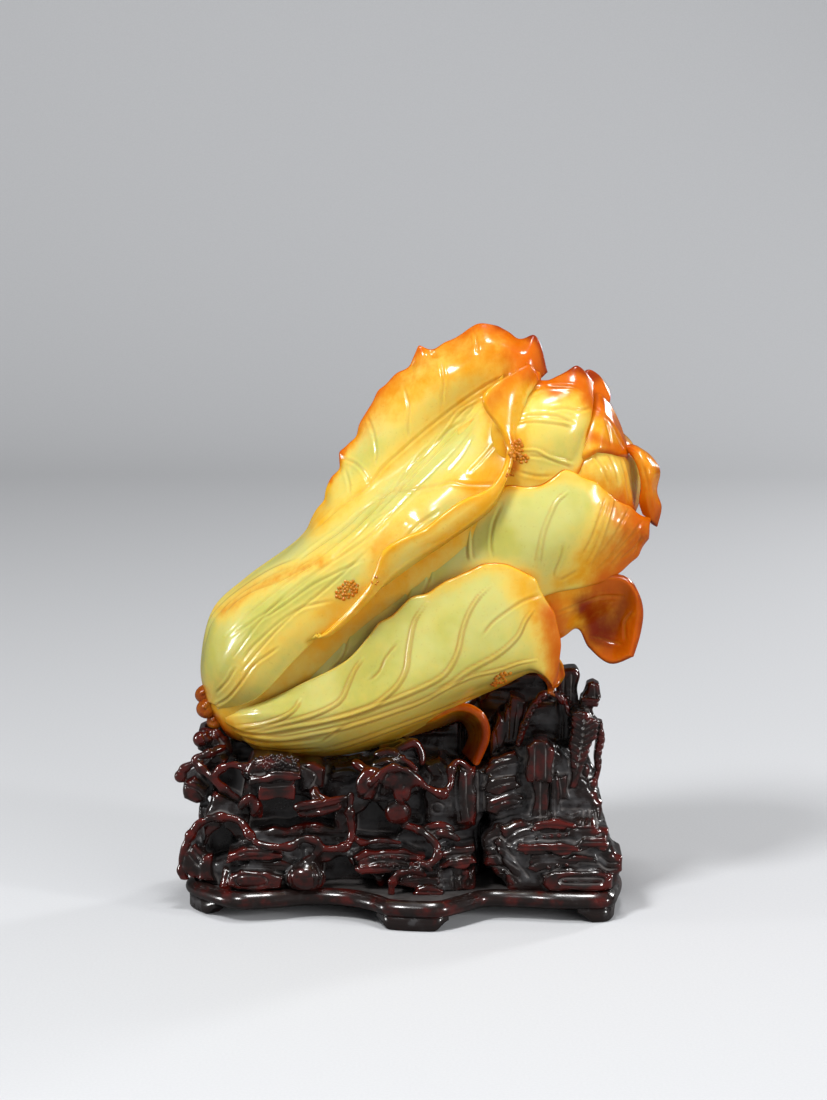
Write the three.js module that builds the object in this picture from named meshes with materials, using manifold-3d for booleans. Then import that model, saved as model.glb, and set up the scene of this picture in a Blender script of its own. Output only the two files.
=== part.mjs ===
// A jade carving of a leafy cabbage, lying aslant on a pierced hardwood stand.
// Millimetres, +Z up, +X to the right of someone facing the carving, +Y away from them.
import * as THREE from "three";
import { mergeVertices } from "three/addons/utils/BufferGeometryUtils.js";
import Module from "manifold-3d";

const wasm = await Module();
wasm.setup();

// Driving dimensions
const jade_length = 200;
const view_tilt = THREE.MathUtils.degToRad(11);
const leaf_flesh = 10;
const seat_gap = 0.35;
const seam_gap = 0.35;
const plinth_length = 177;
const plinth_depth = 100;
const plinth_thickness = 6.8;
const rim_width = 5.2;
const rim_height = 1.3;
const foot_height = 5.2;
const foot_inset = 1.6;
const foot_wall = 7;
const dowel_radius = 2.4;
const dowel_length = 12;
const dowel_bite = 3.4;
const dowel_gap = 0.3;
const vine_radius = 1.7;
const seat_step = 3.5;
const touching_reach = 0.001;
const parting_share = 0.05;

// Where the rims, seats and bores of the wooden pieces lie in height.
const plinth_top = foot_height + plinth_thickness;
const floor_height = plinth_top - rim_height;

// Picture points are [across, down, depth] in pixels of the 827 x 1100 reference photograph,
// seen from view_tilt above the horizon. Depth grows away from the viewer.
const jade_length_pixels = 500;
const ground_centre_pixels = [403, 904];
const plinth_length_pixels = 442.5;
const plinth_depth_pixels = 250;
const pixel = jade_length / jade_length_pixels;
const stand_across = plinth_length / plinth_length_pixels;
const stand_depth = plinth_depth / plinth_depth_pixels;
const sin_tilt = Math.sin(view_tilt);
const cos_tilt = Math.cos(view_tilt);

// Rails run from a leaf's root to its tip along its outer face, one beside the other.
const leaf_rails_pixels = {
  front_top_leaf: [
    [[204, 702, -2], [199, 664, 0], [211, 610, 0], [246, 576, 0], [300, 536, 0], [318, 503, 4],
      [342, 452, 6], [378, 394, 4], [419, 351, 0], [452, 340, -2], [478, 325, -4], [503, 331, -4],
      [522, 340, -6], [538, 343, -8], [547, 368, -16]],
    [[206, 705, -10], [205, 668, -32], [218, 622, -38], [252, 588, -46], [303, 546, -44],
      [328, 515, -30], [358, 476, -24], [398, 426, -26], [436, 388, -28], [460, 372, -28],
      [482, 355, -28], [502, 353, -26], [517, 356, -24], [531, 357, -22], [540, 370, -22]],
    [[208, 707, -18], [216, 674, -52], [232, 637, -66], [265, 603, -76], [310, 558, -74],
      [345, 528, -62], [378, 498, -48], [418, 460, -38], [455, 426, -34], [478, 405, -34],
      [492, 394, -32], [504, 386, -30], [513, 379, -28], [522, 372, -28], [530, 370, -26]],
    [[210, 708, -22], [226, 680, -60], [245, 650, -78], [277, 616, -88], [320, 570, -92],
      [354, 538, -88], [387, 507, -80], [427, 470, -70], [464, 436, -62], [484, 412, -58],
      [497, 401, -54], [508, 392, -50], [515, 384, -46], [522, 376, -40], [528, 371, -32]],
    [[213, 709, -26], [238, 690, -66], [258, 668, -84], [290, 636, -94], [334, 595, -102],
      [362, 565, -106], [395, 535, -104], [436, 500, -98], [474, 464, -90], [488, 445, -84],
      [497, 430, -76], [503, 418, -68], [508, 398, -58], [516, 383, -48], [526, 372, -36]],
    [[216, 710, -28], [249, 700, -62], [270, 684, -80], [304, 648, -92], [347, 613, -104],
      [374, 588, -114], [402, 563, -118], [444, 537, -116], [480, 512, -110], [499, 484, -104],
      [506, 460, -96], [507, 438, -88], [511, 411, -76], [516, 390, -62], [526, 373, -40]],
    [[217, 710, -26], [250, 701, -56], [271, 685, -74], [305, 649, -88], [346, 611, -110],
      [371, 581, -124], [385, 548, -128], [422, 528, -126], [458, 502, -120], [488, 488, -110],
      [502, 460, -100], [498, 438, -96], [481, 410, -90], [488, 391, -78], [518, 375, -48]],
  ],
  front_middle_leaf: [
    [[222, 712, -14], [262, 668, -44], [330, 600, -66], [400, 545, -80], [455, 510, -88],
      [500, 488, -96], [535, 487, -96], [566, 473, -90], [603, 492, -78], [635, 513, -58],
      [650, 518, -46]],
    [[224, 715, -16], [275, 685, -50], [345, 628, -76], [415, 580, -90], [470, 550, -98],
      [512, 525, -104], [548, 515, -102], [580, 507, -94], [610, 512, -80], [638, 522, -60],
      [651, 524, -46]],
    [[226, 717, -16], [288, 698, -54], [360, 655, -82], [430, 615, -96], [487, 587, -102],
      [527, 562, -102], [562, 548, -98], [593, 538, -88], [620, 534, -74], [641, 532, -56],
      [650, 530, -44]],
    [[228, 720, -14], [300, 712, -50], [375, 685, -74], [447, 650, -84], [505, 622, -84],
      [545, 598, -80], [580, 590, -72], [606, 583, -60], [624, 571, -48], [640, 551, -40],
      [648, 535, -38]],
  ],
  front_lower_leaf: [
    [[216, 714, -24], [257, 702, -58], [300, 682, -72], [346, 658, -88], [376, 626, -98],
      [410, 598, -104], [448, 579, -108], [485, 563, -110], [522, 572, -106], [545, 600, -96],
      [559, 637, -88], [558, 672, -80], [553, 691, -78]],
    [[217, 715, -26], [262, 708, -66], [310, 694, -84], [355, 677, -100], [390, 655, -110],
      [425, 632, -116], [460, 616, -118], [492, 608, -116], [518, 612, -110], [536, 630, -102],
      [548, 655, -92], [553, 676, -84], [553, 691, -78]],
    [[218, 717, -28], [266, 717, -70], [318, 715, -92], [365, 706, -108], [404, 694, -116],
      [438, 682, -118], [470, 672, -116], [497, 665, -112], [515, 661, -108], [528, 661, -102],
      [540, 669, -94], [549, 681, -86], [552, 691, -78]],
    [[219, 720, -26], [262, 738, -56], [316, 742, -72], [366, 733, -86], [408, 718, -90],
      [442, 703, -88], [474, 689, -86], [500, 679, -86], [517, 672, -88], [529, 669, -90],
      [540, 674, -86], [548, 684, -82], [551, 691, -77]],
    [[221, 723, -18], [262, 756, -10], [316, 759, -14], [366, 753, -18], [410, 735, -24],
      [446, 714, -34], [478, 697, -44], [503, 686, -56], [519, 677, -70], [530, 673, -80],
      [540, 677, -82], [547, 686, -79], [550, 691, -76]],
  ],
  drooping_leaf: [
    [[500, 600, -60], [540, 591, -76], [570, 583, -72], [600, 577, -66], [622, 579, -58],
      [636, 594, -52]],
    [[500, 625, -56], [545, 612, -72], [578, 604, -60], [603, 602, -46], [621, 606, -38],
      [638, 612, -48]],
    [[505, 645, -46], [552, 630, -60], [578, 622, -42], [596, 625, -30], [615, 630, -32],
      [636, 632, -46]],
    [[510, 655, -30], [558, 640, -44], [576, 630, -32], [588, 648, -30], [608, 663, -38],
      [630, 656, -48]],
  ],
  under_curl: [
    [[400, 722, -20], [430, 712, -50], [452, 702, -60], [474, 704, -62], [488, 718, -60],
      [490, 738, -56], [479, 764, -50]],
    [[400, 722, -5], [430, 710, -12], [452, 700, -15], [474, 702, -16], [489, 716, -14],
      [492, 737, -12], [481, 762, -8]],
    [[400, 722, 10], [430, 712, 26], [452, 702, 30], [474, 704, 32], [487, 718, 30], [489, 738, 28],
      [480, 760, 24]],
  ],
  head_top_leaf: [
    [[455, 430, -50], [505, 398, -56], [530, 384, -54], [553, 378, -50], [576, 370, -46],
      [592, 384, -40]],
    [[455, 460, -70], [508, 425, -84], [535, 412, -82], [560, 405, -76], [580, 400, -66],
      [594, 400, -50]],
    [[455, 490, -80], [510, 455, -96], [537, 443, -96], [562, 435, -88], [580, 428, -76],
      [592, 412, -58]],
    [[460, 520, -84], [512, 488, -94], [535, 482, -94], [555, 474, -90], [570, 462, -82],
      [586, 432, -68]],
    [[470, 545, -80], [520, 515, -86], [540, 505, -86], [560, 495, -84], [575, 480, -78],
      [586, 450, -70]],
  ],
  head_back_lobe: [
    [[555, 420, -20], [570, 390, -18], [585, 371, -12], [598, 376, -6]],
    [[570, 430, -30], [585, 400, -28], [598, 386, -18], [605, 384, -8]],
    [[590, 440, -36], [603, 415, -30], [609, 402, -20], [609, 392, -8]],
  ],
  head_upper_side_leaf: [
    [[560, 420, -30], [590, 395, -36], [605, 402, -34], [617, 422, -30], [626, 448, -26]],
    [[560, 440, -60], [592, 420, -62], [606, 424, -56], [617, 440, -46], [627, 454, -34]],
    [[562, 470, -76], [590, 455, -78], [604, 455, -70], [617, 457, -58], [627, 459, -40]],
  ],
  head_lower_side_leaf: [
    [[560, 440, -50], [592, 440, -60], [612, 448, -52], [626, 460, -38], [632, 480, -28]],
    [[565, 480, -76], [595, 470, -76], [615, 475, -64], [626, 488, -48], [632, 500, -34]],
    [[580, 520, -72], [605, 505, -68], [620, 508, -58], [632, 512, -44], [636, 516, -36]],
  ],
  right_ear_leaf: [
    [[610, 450, -20], [628, 458, -24], [632, 480, -24], [634, 500, -26], [640, 516, -30]],
    [[622, 450, -20], [640, 460, -30], [644, 482, -30], [647, 502, -32], [648, 518, -34]],
    [[632, 448, -8], [650, 462, -14], [656, 480, -14], [661, 504, -18], [655, 523, -26]],
  ],
  rear_upper_leaf: [
    [[210, 700, 4], [213, 640, 8], [278, 560, 14], [345, 495, 22], [420, 440, 32], [500, 398, 38],
      [560, 398, 34], [600, 418, 26], [617, 440, 16]],
    [[212, 706, 12], [235, 670, 44], [310, 610, 76], [380, 550, 92], [450, 500, 100], [520, 465, 96],
      [575, 450, 84], [610, 450, 62], [627, 455, 36]],
    [[216, 712, 14], [250, 705, 48], [330, 660, 78], [400, 615, 94], [470, 570, 100], [535, 530, 96],
      [585, 500, 84], [618, 480, 60], [632, 470, 36]],
    [[217, 714, 14], [255, 720, 40], [340, 690, 66], [415, 650, 80], [485, 610, 84], [545, 570, 80],
      [592, 535, 68], [622, 505, 50], [634, 485, 34]],
  ],
  rear_lower_leaf: [
    [[214, 710, 10], [255, 688, 52], [330, 638, 86], [400, 596, 102], [460, 560, 110],
      [520, 540, 108], [570, 542, 96], [600, 560, 74]],
    [[217, 714, 14], [262, 712, 52], [335, 680, 90], [400, 645, 108], [458, 615, 112],
      [510, 600, 106], [552, 600, 90], [578, 612, 66]],
    [[219, 717, 12], [268, 735, 40], [340, 720, 72], [402, 690, 86], [455, 662, 88], [500, 645, 82],
      [538, 640, 68], [558, 642, 50]],
    [[222, 722, 4], [270, 757, 6], [338, 760, 10], [402, 738, 16], [450, 705, 24], [495, 682, 30],
      [528, 668, 32], [545, 660, 30]],
  ],
};

// Flesh behind each rail, as shares of leaf_flesh.
const leaf_flesh_shares = {
  front_top_leaf: [0.24, 0.4, 0.8, 0.9, 0.8, 0.34, 0.22],
  front_middle_leaf: [0.26, 0.8, 0.9, 0.6],
  front_lower_leaf: [0.26, 0.8, 1.0, 0.9, 0.4],
  drooping_leaf: [0.3, 0.4, 0.4, 0.3],
  under_curl: [0.34, 0.36, 0.34],
  head_top_leaf: [0.3, 0.8, 0.9, 0.8, 0.4],
  head_back_lobe: [0.24, 0.4, 0.24],
  head_upper_side_leaf: [0.26, 0.6, 0.4],
  head_lower_side_leaf: [0.3, 0.6, 0.5],
  right_ear_leaf: [0.4, 0.4, 0.24],
  rear_upper_leaf: [0.3, 0.8, 0.9, 0.4],
  rear_lower_leaf: [0.3, 0.8, 0.9, 0.4],
};

// Leaves whose flesh lies on the other side of their rails: the rear leaves and free curls.
const turned_leaves = ["rear_upper_leaf", "rear_lower_leaf", "under_curl", "right_ear_leaf"];

// [stations, rails] of the faceted skin of each leaf.
const leaf_step_counts = {
  front_top_leaf: [26, 11],
  front_middle_leaf: [18, 6],
  front_lower_leaf: [20, 9],
  drooping_leaf: [10, 6],
  under_curl: [12, 5],
  head_top_leaf: [9, 7],
  head_back_lobe: [6, 4],
  head_upper_side_leaf: [7, 5],
  head_lower_side_leaf: [7, 5],
  right_ear_leaf: [8, 5],
  rear_upper_leaf: [16, 6],
  rear_lower_leaf: [14, 6],
};

// The heart inside the leaves: [across, down, radius, depth, depth radius] along its axis.
const heart_pixels = [
  [206, 702, 5, 0, 6],
  [214, 701, 30, 0, 28],
  [240, 693, 56, 0, 52],
  [300, 655, 76, 0, 72],
  [360, 612, 90, 0, 86],
  [420, 572, 98, 0, 94],
  [480, 535, 102, 0, 98],
  [540, 500, 96, 0, 92],
  [590, 474, 76, 0, 72],
  [618, 462, 50, 0, 46],
  [634, 455, 20, 0, 18],
  [638, 453, 3, 0, 3],
];
const heart_sides = 16;

// Knots of the cut root: [across, down, depth, radius].
const root_knots_pixels = [
  [204, 694, -8, 8],
  [203, 706, -14, 9],
  [209, 716, -10, 8],
  [214, 724, -8, 7],
];

function placed([across, down, depth]) {
  const x = (across - ground_centre_pixels[0]) * pixel;
  const y = depth * pixel;
  const seen_height = (ground_centre_pixels[1] - down) * pixel;
  return new THREE.Vector3(x, y, (seen_height - y * sin_tilt) / cos_tilt);
}

function enclosedVolume(points, corners) {
  const [a, b, c] = [new THREE.Vector3(), new THREE.Vector3(), new THREE.Vector3()];
  let six_volumes = 0;
  for (let i = 0; i < corners.length; i += 3) {
    a.fromArray(points, corners[i] * 3);
    b.fromArray(points, corners[i + 1] * 3);
    c.fromArray(points, corners[i + 2] * 3);
    six_volumes += a.dot(b.cross(c));
  }
  return six_volumes / 6;
}

function solidFrom(points, corners) {
  const faces = Uint32Array.from(corners);
  if (enclosedVolume(points, faces) < 0) faces.reverse();
  return new wasm.Manifold(
    new wasm.Mesh({ numProp: 3, vertProperties: Float32Array.from(points), triVerts: faces }),
  );
}

function solidOf(geometry) {
  const bare = new THREE.BufferGeometry();
  bare.setAttribute("position", geometry.getAttribute("position"));
  bare.setIndex(geometry.index);
  const merged = mergeVertices(bare, pixel * 1e-3);
  return solidFrom(merged.attributes.position.array, merged.index.array);
}

function joined(solids) {
  return solids.reduce((all, one) => all.add(one));
}

// Where two corners of a skin share one place, draws the later one toward its neighbours.
function partTouchingCorners(points, corners) {
  const seen = new Map();
  const place = (v) => points.slice(v * 3, v * 3 + 3);
  for (let i = 0; i < corners.length; i++) {
    const key = place(corners[i]).map((value) => Math.round(value / touching_reach)).join();
    if (!seen.has(key)) seen.set(key, corners[i]);
    if (seen.get(key) === corners[i]) continue;
    const next = place(corners[i % 3 === 2 ? i - 2 : i + 1]);
    place(corners[i]).forEach((value, c) => {
      points[corners[i] * 3 + c] = THREE.MathUtils.lerp(value, next[c], parting_share);
    });
  }
}

// The largest unbroken skin of a solid, which leaves out loose crumbs and sealed hollows.
function largestSkin(solid) {
  const { numProp, numVert, vertProperties, triVerts } = solid.getMesh();
  const points = [];
  for (let v = 0; v < numVert; v++) {
    points.push(...vertProperties.subarray(v * numProp, v * numProp + 3));
  }
  const leader = Array.from({ length: numVert }, (_, v) => v);
  const find = (v) => {
    while (leader[v] !== v) v = leader[v] = leader[leader[v]];
    return v;
  };
  for (let i = 0; i < triVerts.length; i += 3) {
    leader[find(triVerts[i + 1])] = find(triVerts[i]);
    leader[find(triVerts[i + 2])] = find(triVerts[i]);
  }
  const skins = new Map();
  for (let i = 0; i < triVerts.length; i += 3) {
    const name = find(triVerts[i]);
    if (!skins.has(name)) skins.set(name, []);
    skins.get(name).push(triVerts[i], triVerts[i + 1], triVerts[i + 2]);
  }
  const volume = (corners) => enclosedVolume(points, corners);
  const corners = [...skins.values()].sort((a, b) => volume(b) - volume(a))[0];
  partTouchingCorners(points, corners);
  const used = [...new Set(corners)];
  const renumbered = new Map(used.map((v, i) => [v, i]));
  return solidFrom(
    used.flatMap((v) => points.slice(v * 3, v * 3 + 3)),
    corners.map((v) => renumbered.get(v)),
  );
}

function geometryOf(solid) {
  const { numProp, numVert, vertProperties, triVerts } = solid.getMesh();
  const positions = new Float32Array(numVert * 3);
  for (let v = 0; v < numVert; v++) {
    positions.set(vertProperties.subarray(v * numProp, v * numProp + 3), v * 3);
  }
  const geometry = new THREE.BufferGeometry();
  geometry.setAttribute("position", new THREE.BufferAttribute(positions, 3));
  geometry.setIndex(new THREE.BufferAttribute(Uint32Array.from(triVerts), 1));
  geometry.computeVertexNormals();
  return geometry;
}

// A smooth curve through rows of numbers, read at row number x.
function smoothRow(rows, x) {
  const last = rows.length - 1;
  const j = Math.min(Math.floor(x), last - 1);
  const u = x - j;
  const before = rows[j - 1] ?? rows[0].map((v, c) => 2 * v - rows[1][c]);
  const after = rows[j + 2] ?? rows[last].map((v, c) => 2 * v - rows[last - 1][c]);
  return rows[j].map((v, c) => {
    const [p, q, r] = [before[c], rows[j + 1][c], after[c]];
    const bend = 2 * p - 5 * v + 4 * q - r;
    return v + 0.5 * u * (q - p + u * (bend + u * (3 * v - p - 3 * q + r)));
  });
}

function smoothRows(rows, count) {
  return Array.from({ length: count }, (_, i) => smoothRow(rows, (i * (rows.length - 1)) / (count - 1)));
}

// A closed solid between two grids of points with the same steps.
function slabBetween(outer, inner) {
  const [rows, columns] = [outer.length, outer[0].length];
  const points = [...outer.flat(), ...inner.flat()].flatMap((p) => p.toArray());
  const at = (side, i, j) => (side * rows + i) * columns + j;
  const corners = [];
  const quad = (a, b, c, d) => corners.push(a, b, c, a, c, d);
  for (let i = 0; i < rows - 1; i++) {
    for (let j = 0; j < columns - 1; j++) {
      quad(at(0, i, j), at(0, i, j + 1), at(0, i + 1, j + 1), at(0, i + 1, j));
      quad(at(1, i, j), at(1, i + 1, j), at(1, i + 1, j + 1), at(1, i, j + 1));
    }
    quad(at(0, i, 0), at(0, i + 1, 0), at(1, i + 1, 0), at(1, i, 0));
    const last = columns - 1;
    quad(at(0, i + 1, last), at(0, i, last), at(1, i, last), at(1, i + 1, last));
  }
  for (let j = 0; j < columns - 1; j++) {
    quad(at(0, 0, j + 1), at(0, 0, j), at(1, 0, j), at(1, 0, j + 1));
    quad(at(0, rows - 1, j), at(0, rows - 1, j + 1), at(1, rows - 1, j + 1), at(1, rows - 1, j));
  }
  return solidFrom(points, corners);
}

// A closed solid through a stack of rings, capped at both ends.
function solidThrough(rings) {
  const sides = rings[0].length;
  const points = rings.flat().flatMap((p) => p.toArray());
  const corners = [];
  for (let i = 0; i < rings.length - 1; i++) {
    for (let j = 0; j < sides; j++) {
      const [a, b] = [i * sides + j, i * sides + ((j + 1) % sides)];
      corners.push(a, b, b + sides, a, b + sides, a + sides);
    }
  }
  const cap = (ring, flipped) => {
    const centre = new THREE.Vector3();
    rings[ring].forEach((p) => centre.addScaledVector(p, 1 / sides));
    const middle = points.length / 3;
    points.push(...centre.toArray());
    for (let j = 0; j < sides; j++) {
      const [a, b] = [ring * sides + j, ring * sides + ((j + 1) % sides)];
      corners.push(...(flipped ? [middle, b, a] : [middle, a, b]));
    }
  };
  cap(0, true);
  cap(rings.length - 1, false);
  return solidFrom(points, corners);
}

// Jade

function leafSolid(name) {
  const [stations, rails] = leaf_step_counts[name];
  const lengthwise = leaf_rails_pixels[name].map((rail) => smoothRows(rail, stations));
  const skin = Array.from({ length: stations }, (_, i) =>
    smoothRows(lengthwise.map((rail) => rail[i]), rails).map(placed),
  );
  const flesh = smoothRows(leaf_flesh_shares[name].map((share) => [share * leaf_flesh]), rails);
  const side = turned_leaves.includes(name) ? -1 : 1;
  const inner = skin.map((row, i) =>
    row.map((point, j) => {
      const ahead = skin[Math.min(i + 1, stations - 1)][j].clone();
      const aside = row[Math.min(j + 1, rails - 1)].clone();
      ahead.sub(skin[Math.max(i - 1, 0)][j]);
      aside.sub(row[Math.max(j - 1, 0)]);
      return point.clone().addScaledVector(ahead.cross(aside).normalize(), side * flesh[j][0]);
    }),
  );
  return slabBetween(skin, inner);
}

function heartSolid() {
  const rings = heart_pixels.map(([across, down, radius, depth, depth_radius], i) => {
    const before = heart_pixels[Math.max(i - 1, 0)];
    const after = heart_pixels[Math.min(i + 1, heart_pixels.length - 1)];
    const course = new THREE.Vector2(after[0] - before[0], after[1] - before[1]).normalize();
    return Array.from({ length: heart_sides }, (_, k) => {
      const turn = (k / heart_sides) * 2 * Math.PI;
      const out = radius * Math.cos(turn);
      return placed([
        across - out * course.y,
        down + out * course.x,
        depth + depth_radius * Math.sin(turn),
      ]);
    });
  });
  return solidThrough(rings);
}

function ball([across, down, depth, radius], place) {
  const geometry = new THREE.IcosahedronGeometry(radius * pixel, 1);
  const centre = place([across, down, depth]);
  geometry.translate(centre.x, centre.y, centre.z);
  return solidOf(geometry);
}

const jade_solid = largestSkin(
  joined([
    heartSolid(),
    ...Object.keys(leaf_rails_pixels).map(leafSolid),
    ...root_knots_pixels.map((knot) => ball(knot, placed)),
  ]),
);

// Stand

// Plan outline of the plinth, as shares of its length and depth, from the back right corner.
const plinth_outline_shares = [
  [0.47, 0.4], [0.5, 0.28], [0.485, 0.12], [0.5, -0.04], [0.49, -0.22], [0.465, -0.36],
  [0.35, -0.37], [0.27, -0.345], [0.19, -0.34], [0.14, -0.42], [0.085, -0.5], [0.02, -0.5],
  [-0.04, -0.47], [-0.08, -0.39], [-0.13, -0.33], [-0.21, -0.31], [-0.3, -0.36], [-0.38, -0.37],
  [-0.45, -0.26], [-0.495, -0.12], [-0.485, 0.02], [-0.5, 0.16], [-0.48, 0.32], [-0.42, 0.42],
  [-0.33, 0.4], [-0.24, 0.42], [-0.14, 0.5], [-0.04, 0.47], [0.04, 0.43], [0.12, 0.45],
  [0.2, 0.5], [0.3, 0.46], [0.38, 0.44],
];
const plinth_steps = 72;

// Feet, each under a stretch of the outline between two shares of the way round it.
const foot_stretch_shares = {
  front_right_foot: [0.125, 0.185],
  front_centre_foot: [0.297, 0.367],
  front_left_foot: [0.51, 0.575],
  rear_left_foot: [0.68, 0.735],
  rear_right_foot: [0.965, 1.02],
};

// Rocks are outlines in the picture, run back from a front depth to a rear depth and drawn in
// there by a share: [front depth, rear depth, rear share, outline of across and down].
const front_rocks_pixels = [
  [-46, 26, 0.9, [[204, 900], [202, 830], [212, 792], [226, 774], [252, 768], [306, 772], [306, 900]]],
  [-30, 22, 0.9, [[192, 876], [190, 846], [200, 826], [222, 822], [236, 850], [230, 900], [196, 900]]],
  [-26, 22, 0.85, [[198, 800], [200, 764], [214, 750], [236, 762], [240, 800]]],
  [-64, -20, 0.94, [[214, 900], [222, 866], [288, 868], [296, 900]]],
  [-40, 26, 0.92, [[300, 900], [300, 768], [330, 764], [362, 762], [400, 758], [440, 764],
    [474, 772], [486, 800], [486, 900]]],
  [-60, -20, 0.92, [[418, 774], [446, 764], [472, 778], [478, 826], [452, 838], [424, 826]]],
  [-54, -10, 0.92, [[324, 900], [330, 866], [352, 858], [384, 874], [390, 900]]],
  [-64, -20, 0.96, [[436, 872], [478, 864], [478, 900], [440, 900]]],
  [-70, 26, 0.94, [[489, 846], [500, 826], [520, 818], [592, 818], [608, 830], [620, 868],
    [612, 900], [500, 900], [486, 872]]],
  [-42, 26, 0.9, [[486, 830], [484, 776], [498, 754], [522, 742], [556, 744], [590, 784], [604, 804],
    [604, 830]]],
  [-14, 14, 0.9, [[510, 752], [516, 718], [532, 702], [556, 702], [572, 722], [578, 752]]],
  [-70, -10, 0.97, [[246, 772], [251, 761], [268, 754], [290, 756], [302, 765], [301, 771],
    [276, 768], [250, 774]]],
  [-76, -12, 0.97, [[249, 783], [250, 774], [276, 770], [302, 772], [301, 779], [274, 780]]],
  [-72, -20, 0.97, [[259, 790], [260, 782], [296, 780], [295, 797], [260, 799]]],
  [-76, -20, 0.97, [[226, 863], [229, 853], [243, 847], [266, 847], [282, 851], [283, 858],
    [250, 861]]],
  [-80, -30, 0.97, [[229, 884], [232, 874], [243, 870], [262, 871], [284, 876], [282, 889],
    [240, 890]]],
  [-36, 10, 0.97, [[183, 800], [182, 784], [194, 778], [208, 788], [206, 803], [196, 806]]],
  [-48, -6, 0.97, [[182, 872], [184, 852], [196, 846], [206, 856], [203, 872], [192, 882]]],
  [-20, 20, 0.97, [[196, 752], [198, 732], [212, 726], [228, 736], [232, 756], [214, 762]]],
  [-70, -20, 0.97, [[357, 798], [360, 778], [374, 764], [398, 758], [416, 764], [420, 790],
    [400, 800], [376, 804]]],
  [-56, -20, 0.97, [[376, 764], [380, 748], [398, 742], [418, 744], [424, 758], [404, 768]]],
  [-66, -14, 0.97, [[452, 826], [450, 776], [458, 764], [474, 768], [478, 800], [474, 826]]],
  [-70, -24, 0.97, [[352, 858], [366, 850], [404, 849], [426, 855], [424, 862], [398, 864],
    [360, 866]]],
  [-80, -30, 0.97, [[396, 885], [402, 876], [418, 874], [438, 877], [440, 884], [424, 888]]],
  [-76, -24, 0.97, [[440, 852], [454, 846], [474, 845], [477, 852], [462, 857], [442, 858]]],
  [-78, -30, 0.97, [[530, 831], [534, 822], [552, 819], [572, 822], [577, 829], [556, 828]]],
  [-82, -30, 0.97, [[514, 848], [518, 842], [548, 842], [580, 844], [581, 851], [560, 853],
    [524, 853]]],
  [-80, -30, 0.97, [[576, 842], [584, 836], [606, 838], [609, 844], [604, 850], [582, 850]]],
  [-80, -30, 0.97, [[528, 870], [532, 854], [560, 854], [596, 856], [598, 862], [560, 864],
    [536, 872]]],
  [-84, -30, 0.97, [[541, 886], [542, 874], [552, 868], [600, 867], [612, 874], [611, 888],
    [596, 892], [548, 892]]],
  [-72, -14, 0.97, [[594, 868], [596, 854], [612, 850], [622, 858], [622, 872], [610, 878]]],
  [-64, 10, 0.97, [[484, 866], [482, 838], [494, 824], [510, 822], [530, 856], [532, 884], [508, 886]]],
  [-40, -4, 0.97, [[489, 756], [492, 730], [499, 713], [505, 722], [504, 750]]],
  [-40, -6, 0.97, [[504, 744], [503, 718], [510, 698], [526, 701], [524, 728], [517, 744]]],
  [-54, -20, 0.97, [[480, 774], [492, 758], [514, 750], [522, 760], [518, 772], [496, 782]]],
  [-56, -20, 0.97, [[484, 812], [486, 796], [512, 790], [524, 796], [520, 808], [498, 816]]],
  [-66, -30, 0.97, [[526, 782], [527, 746], [534, 740], [546, 740], [552, 748], [551, 782]]],
  [-56, -26, 0.97, [[550, 816], [550, 778], [556, 774], [560, 780], [560, 816]]],
  [-50, -24, 0.97, [[571, 790], [569, 740], [571, 712], [584, 709], [598, 722], [597, 738],
    [586, 760], [576, 790]]],
  [-34, -12, 0.97, [[598, 722], [604, 723], [604, 752], [598, 782], [592, 782], [596, 752]]],
  [-30, -8, 0.97, [[583, 698], [585, 684], [592, 681], [600, 685], [600, 698]]],
  [-30, -4, 0.97, [[568, 716], [572, 706], [594, 706], [596, 718]]],
  [-18, 12, 0.97, [[557, 742], [558, 676], [563, 669], [576, 670], [579, 678], [577, 742]]],
];

const rear_rocks_pixels = [
  [16, 84, 0.85, [[214, 900], [212, 800], [226, 764], [262, 752], [306, 756], [340, 764], [372, 790],
    [380, 900]]],
  [16, 96, 0.8, [[360, 900], [366, 804], [400, 780], [450, 772], [486, 782], [490, 900]]],
  [16, 80, 0.85, [[436, 900], [440, 756], [456, 728], [484, 708], [520, 700], [556, 704], [584, 732],
    [600, 784], [606, 900]]],
  [40, 104, 0.85, [[240, 900], [250, 836], [300, 822], [350, 834], [364, 900]]],
  [40, 110, 0.85, [[392, 900], [404, 846], [450, 832], [492, 842], [500, 900]]],
  [40, 100, 0.85, [[512, 900], [524, 826], [560, 812], [592, 824], [600, 900]]],
  [60, 106, 0.97, [[250, 852], [262, 842], [300, 840], [316, 850], [282, 858]]],
  [60, 102, 0.97, [[398, 812], [404, 790], [430, 784], [458, 790], [450, 806], [420, 814]]],
  [60, 114, 0.97, [[410, 862], [424, 852], [462, 850], [474, 858], [452, 866]]],
  [50, 88, 0.97, [[510, 770], [520, 748], [546, 742], [566, 752], [560, 774], [530, 780]]],
  [50, 102, 0.97, [[524, 846], [536, 832], [570, 832], [590, 842], [566, 850]]],
  [50, 86, 0.97, [[222, 836], [228, 812], [246, 806], [258, 822], [248, 840]]],
];

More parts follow.
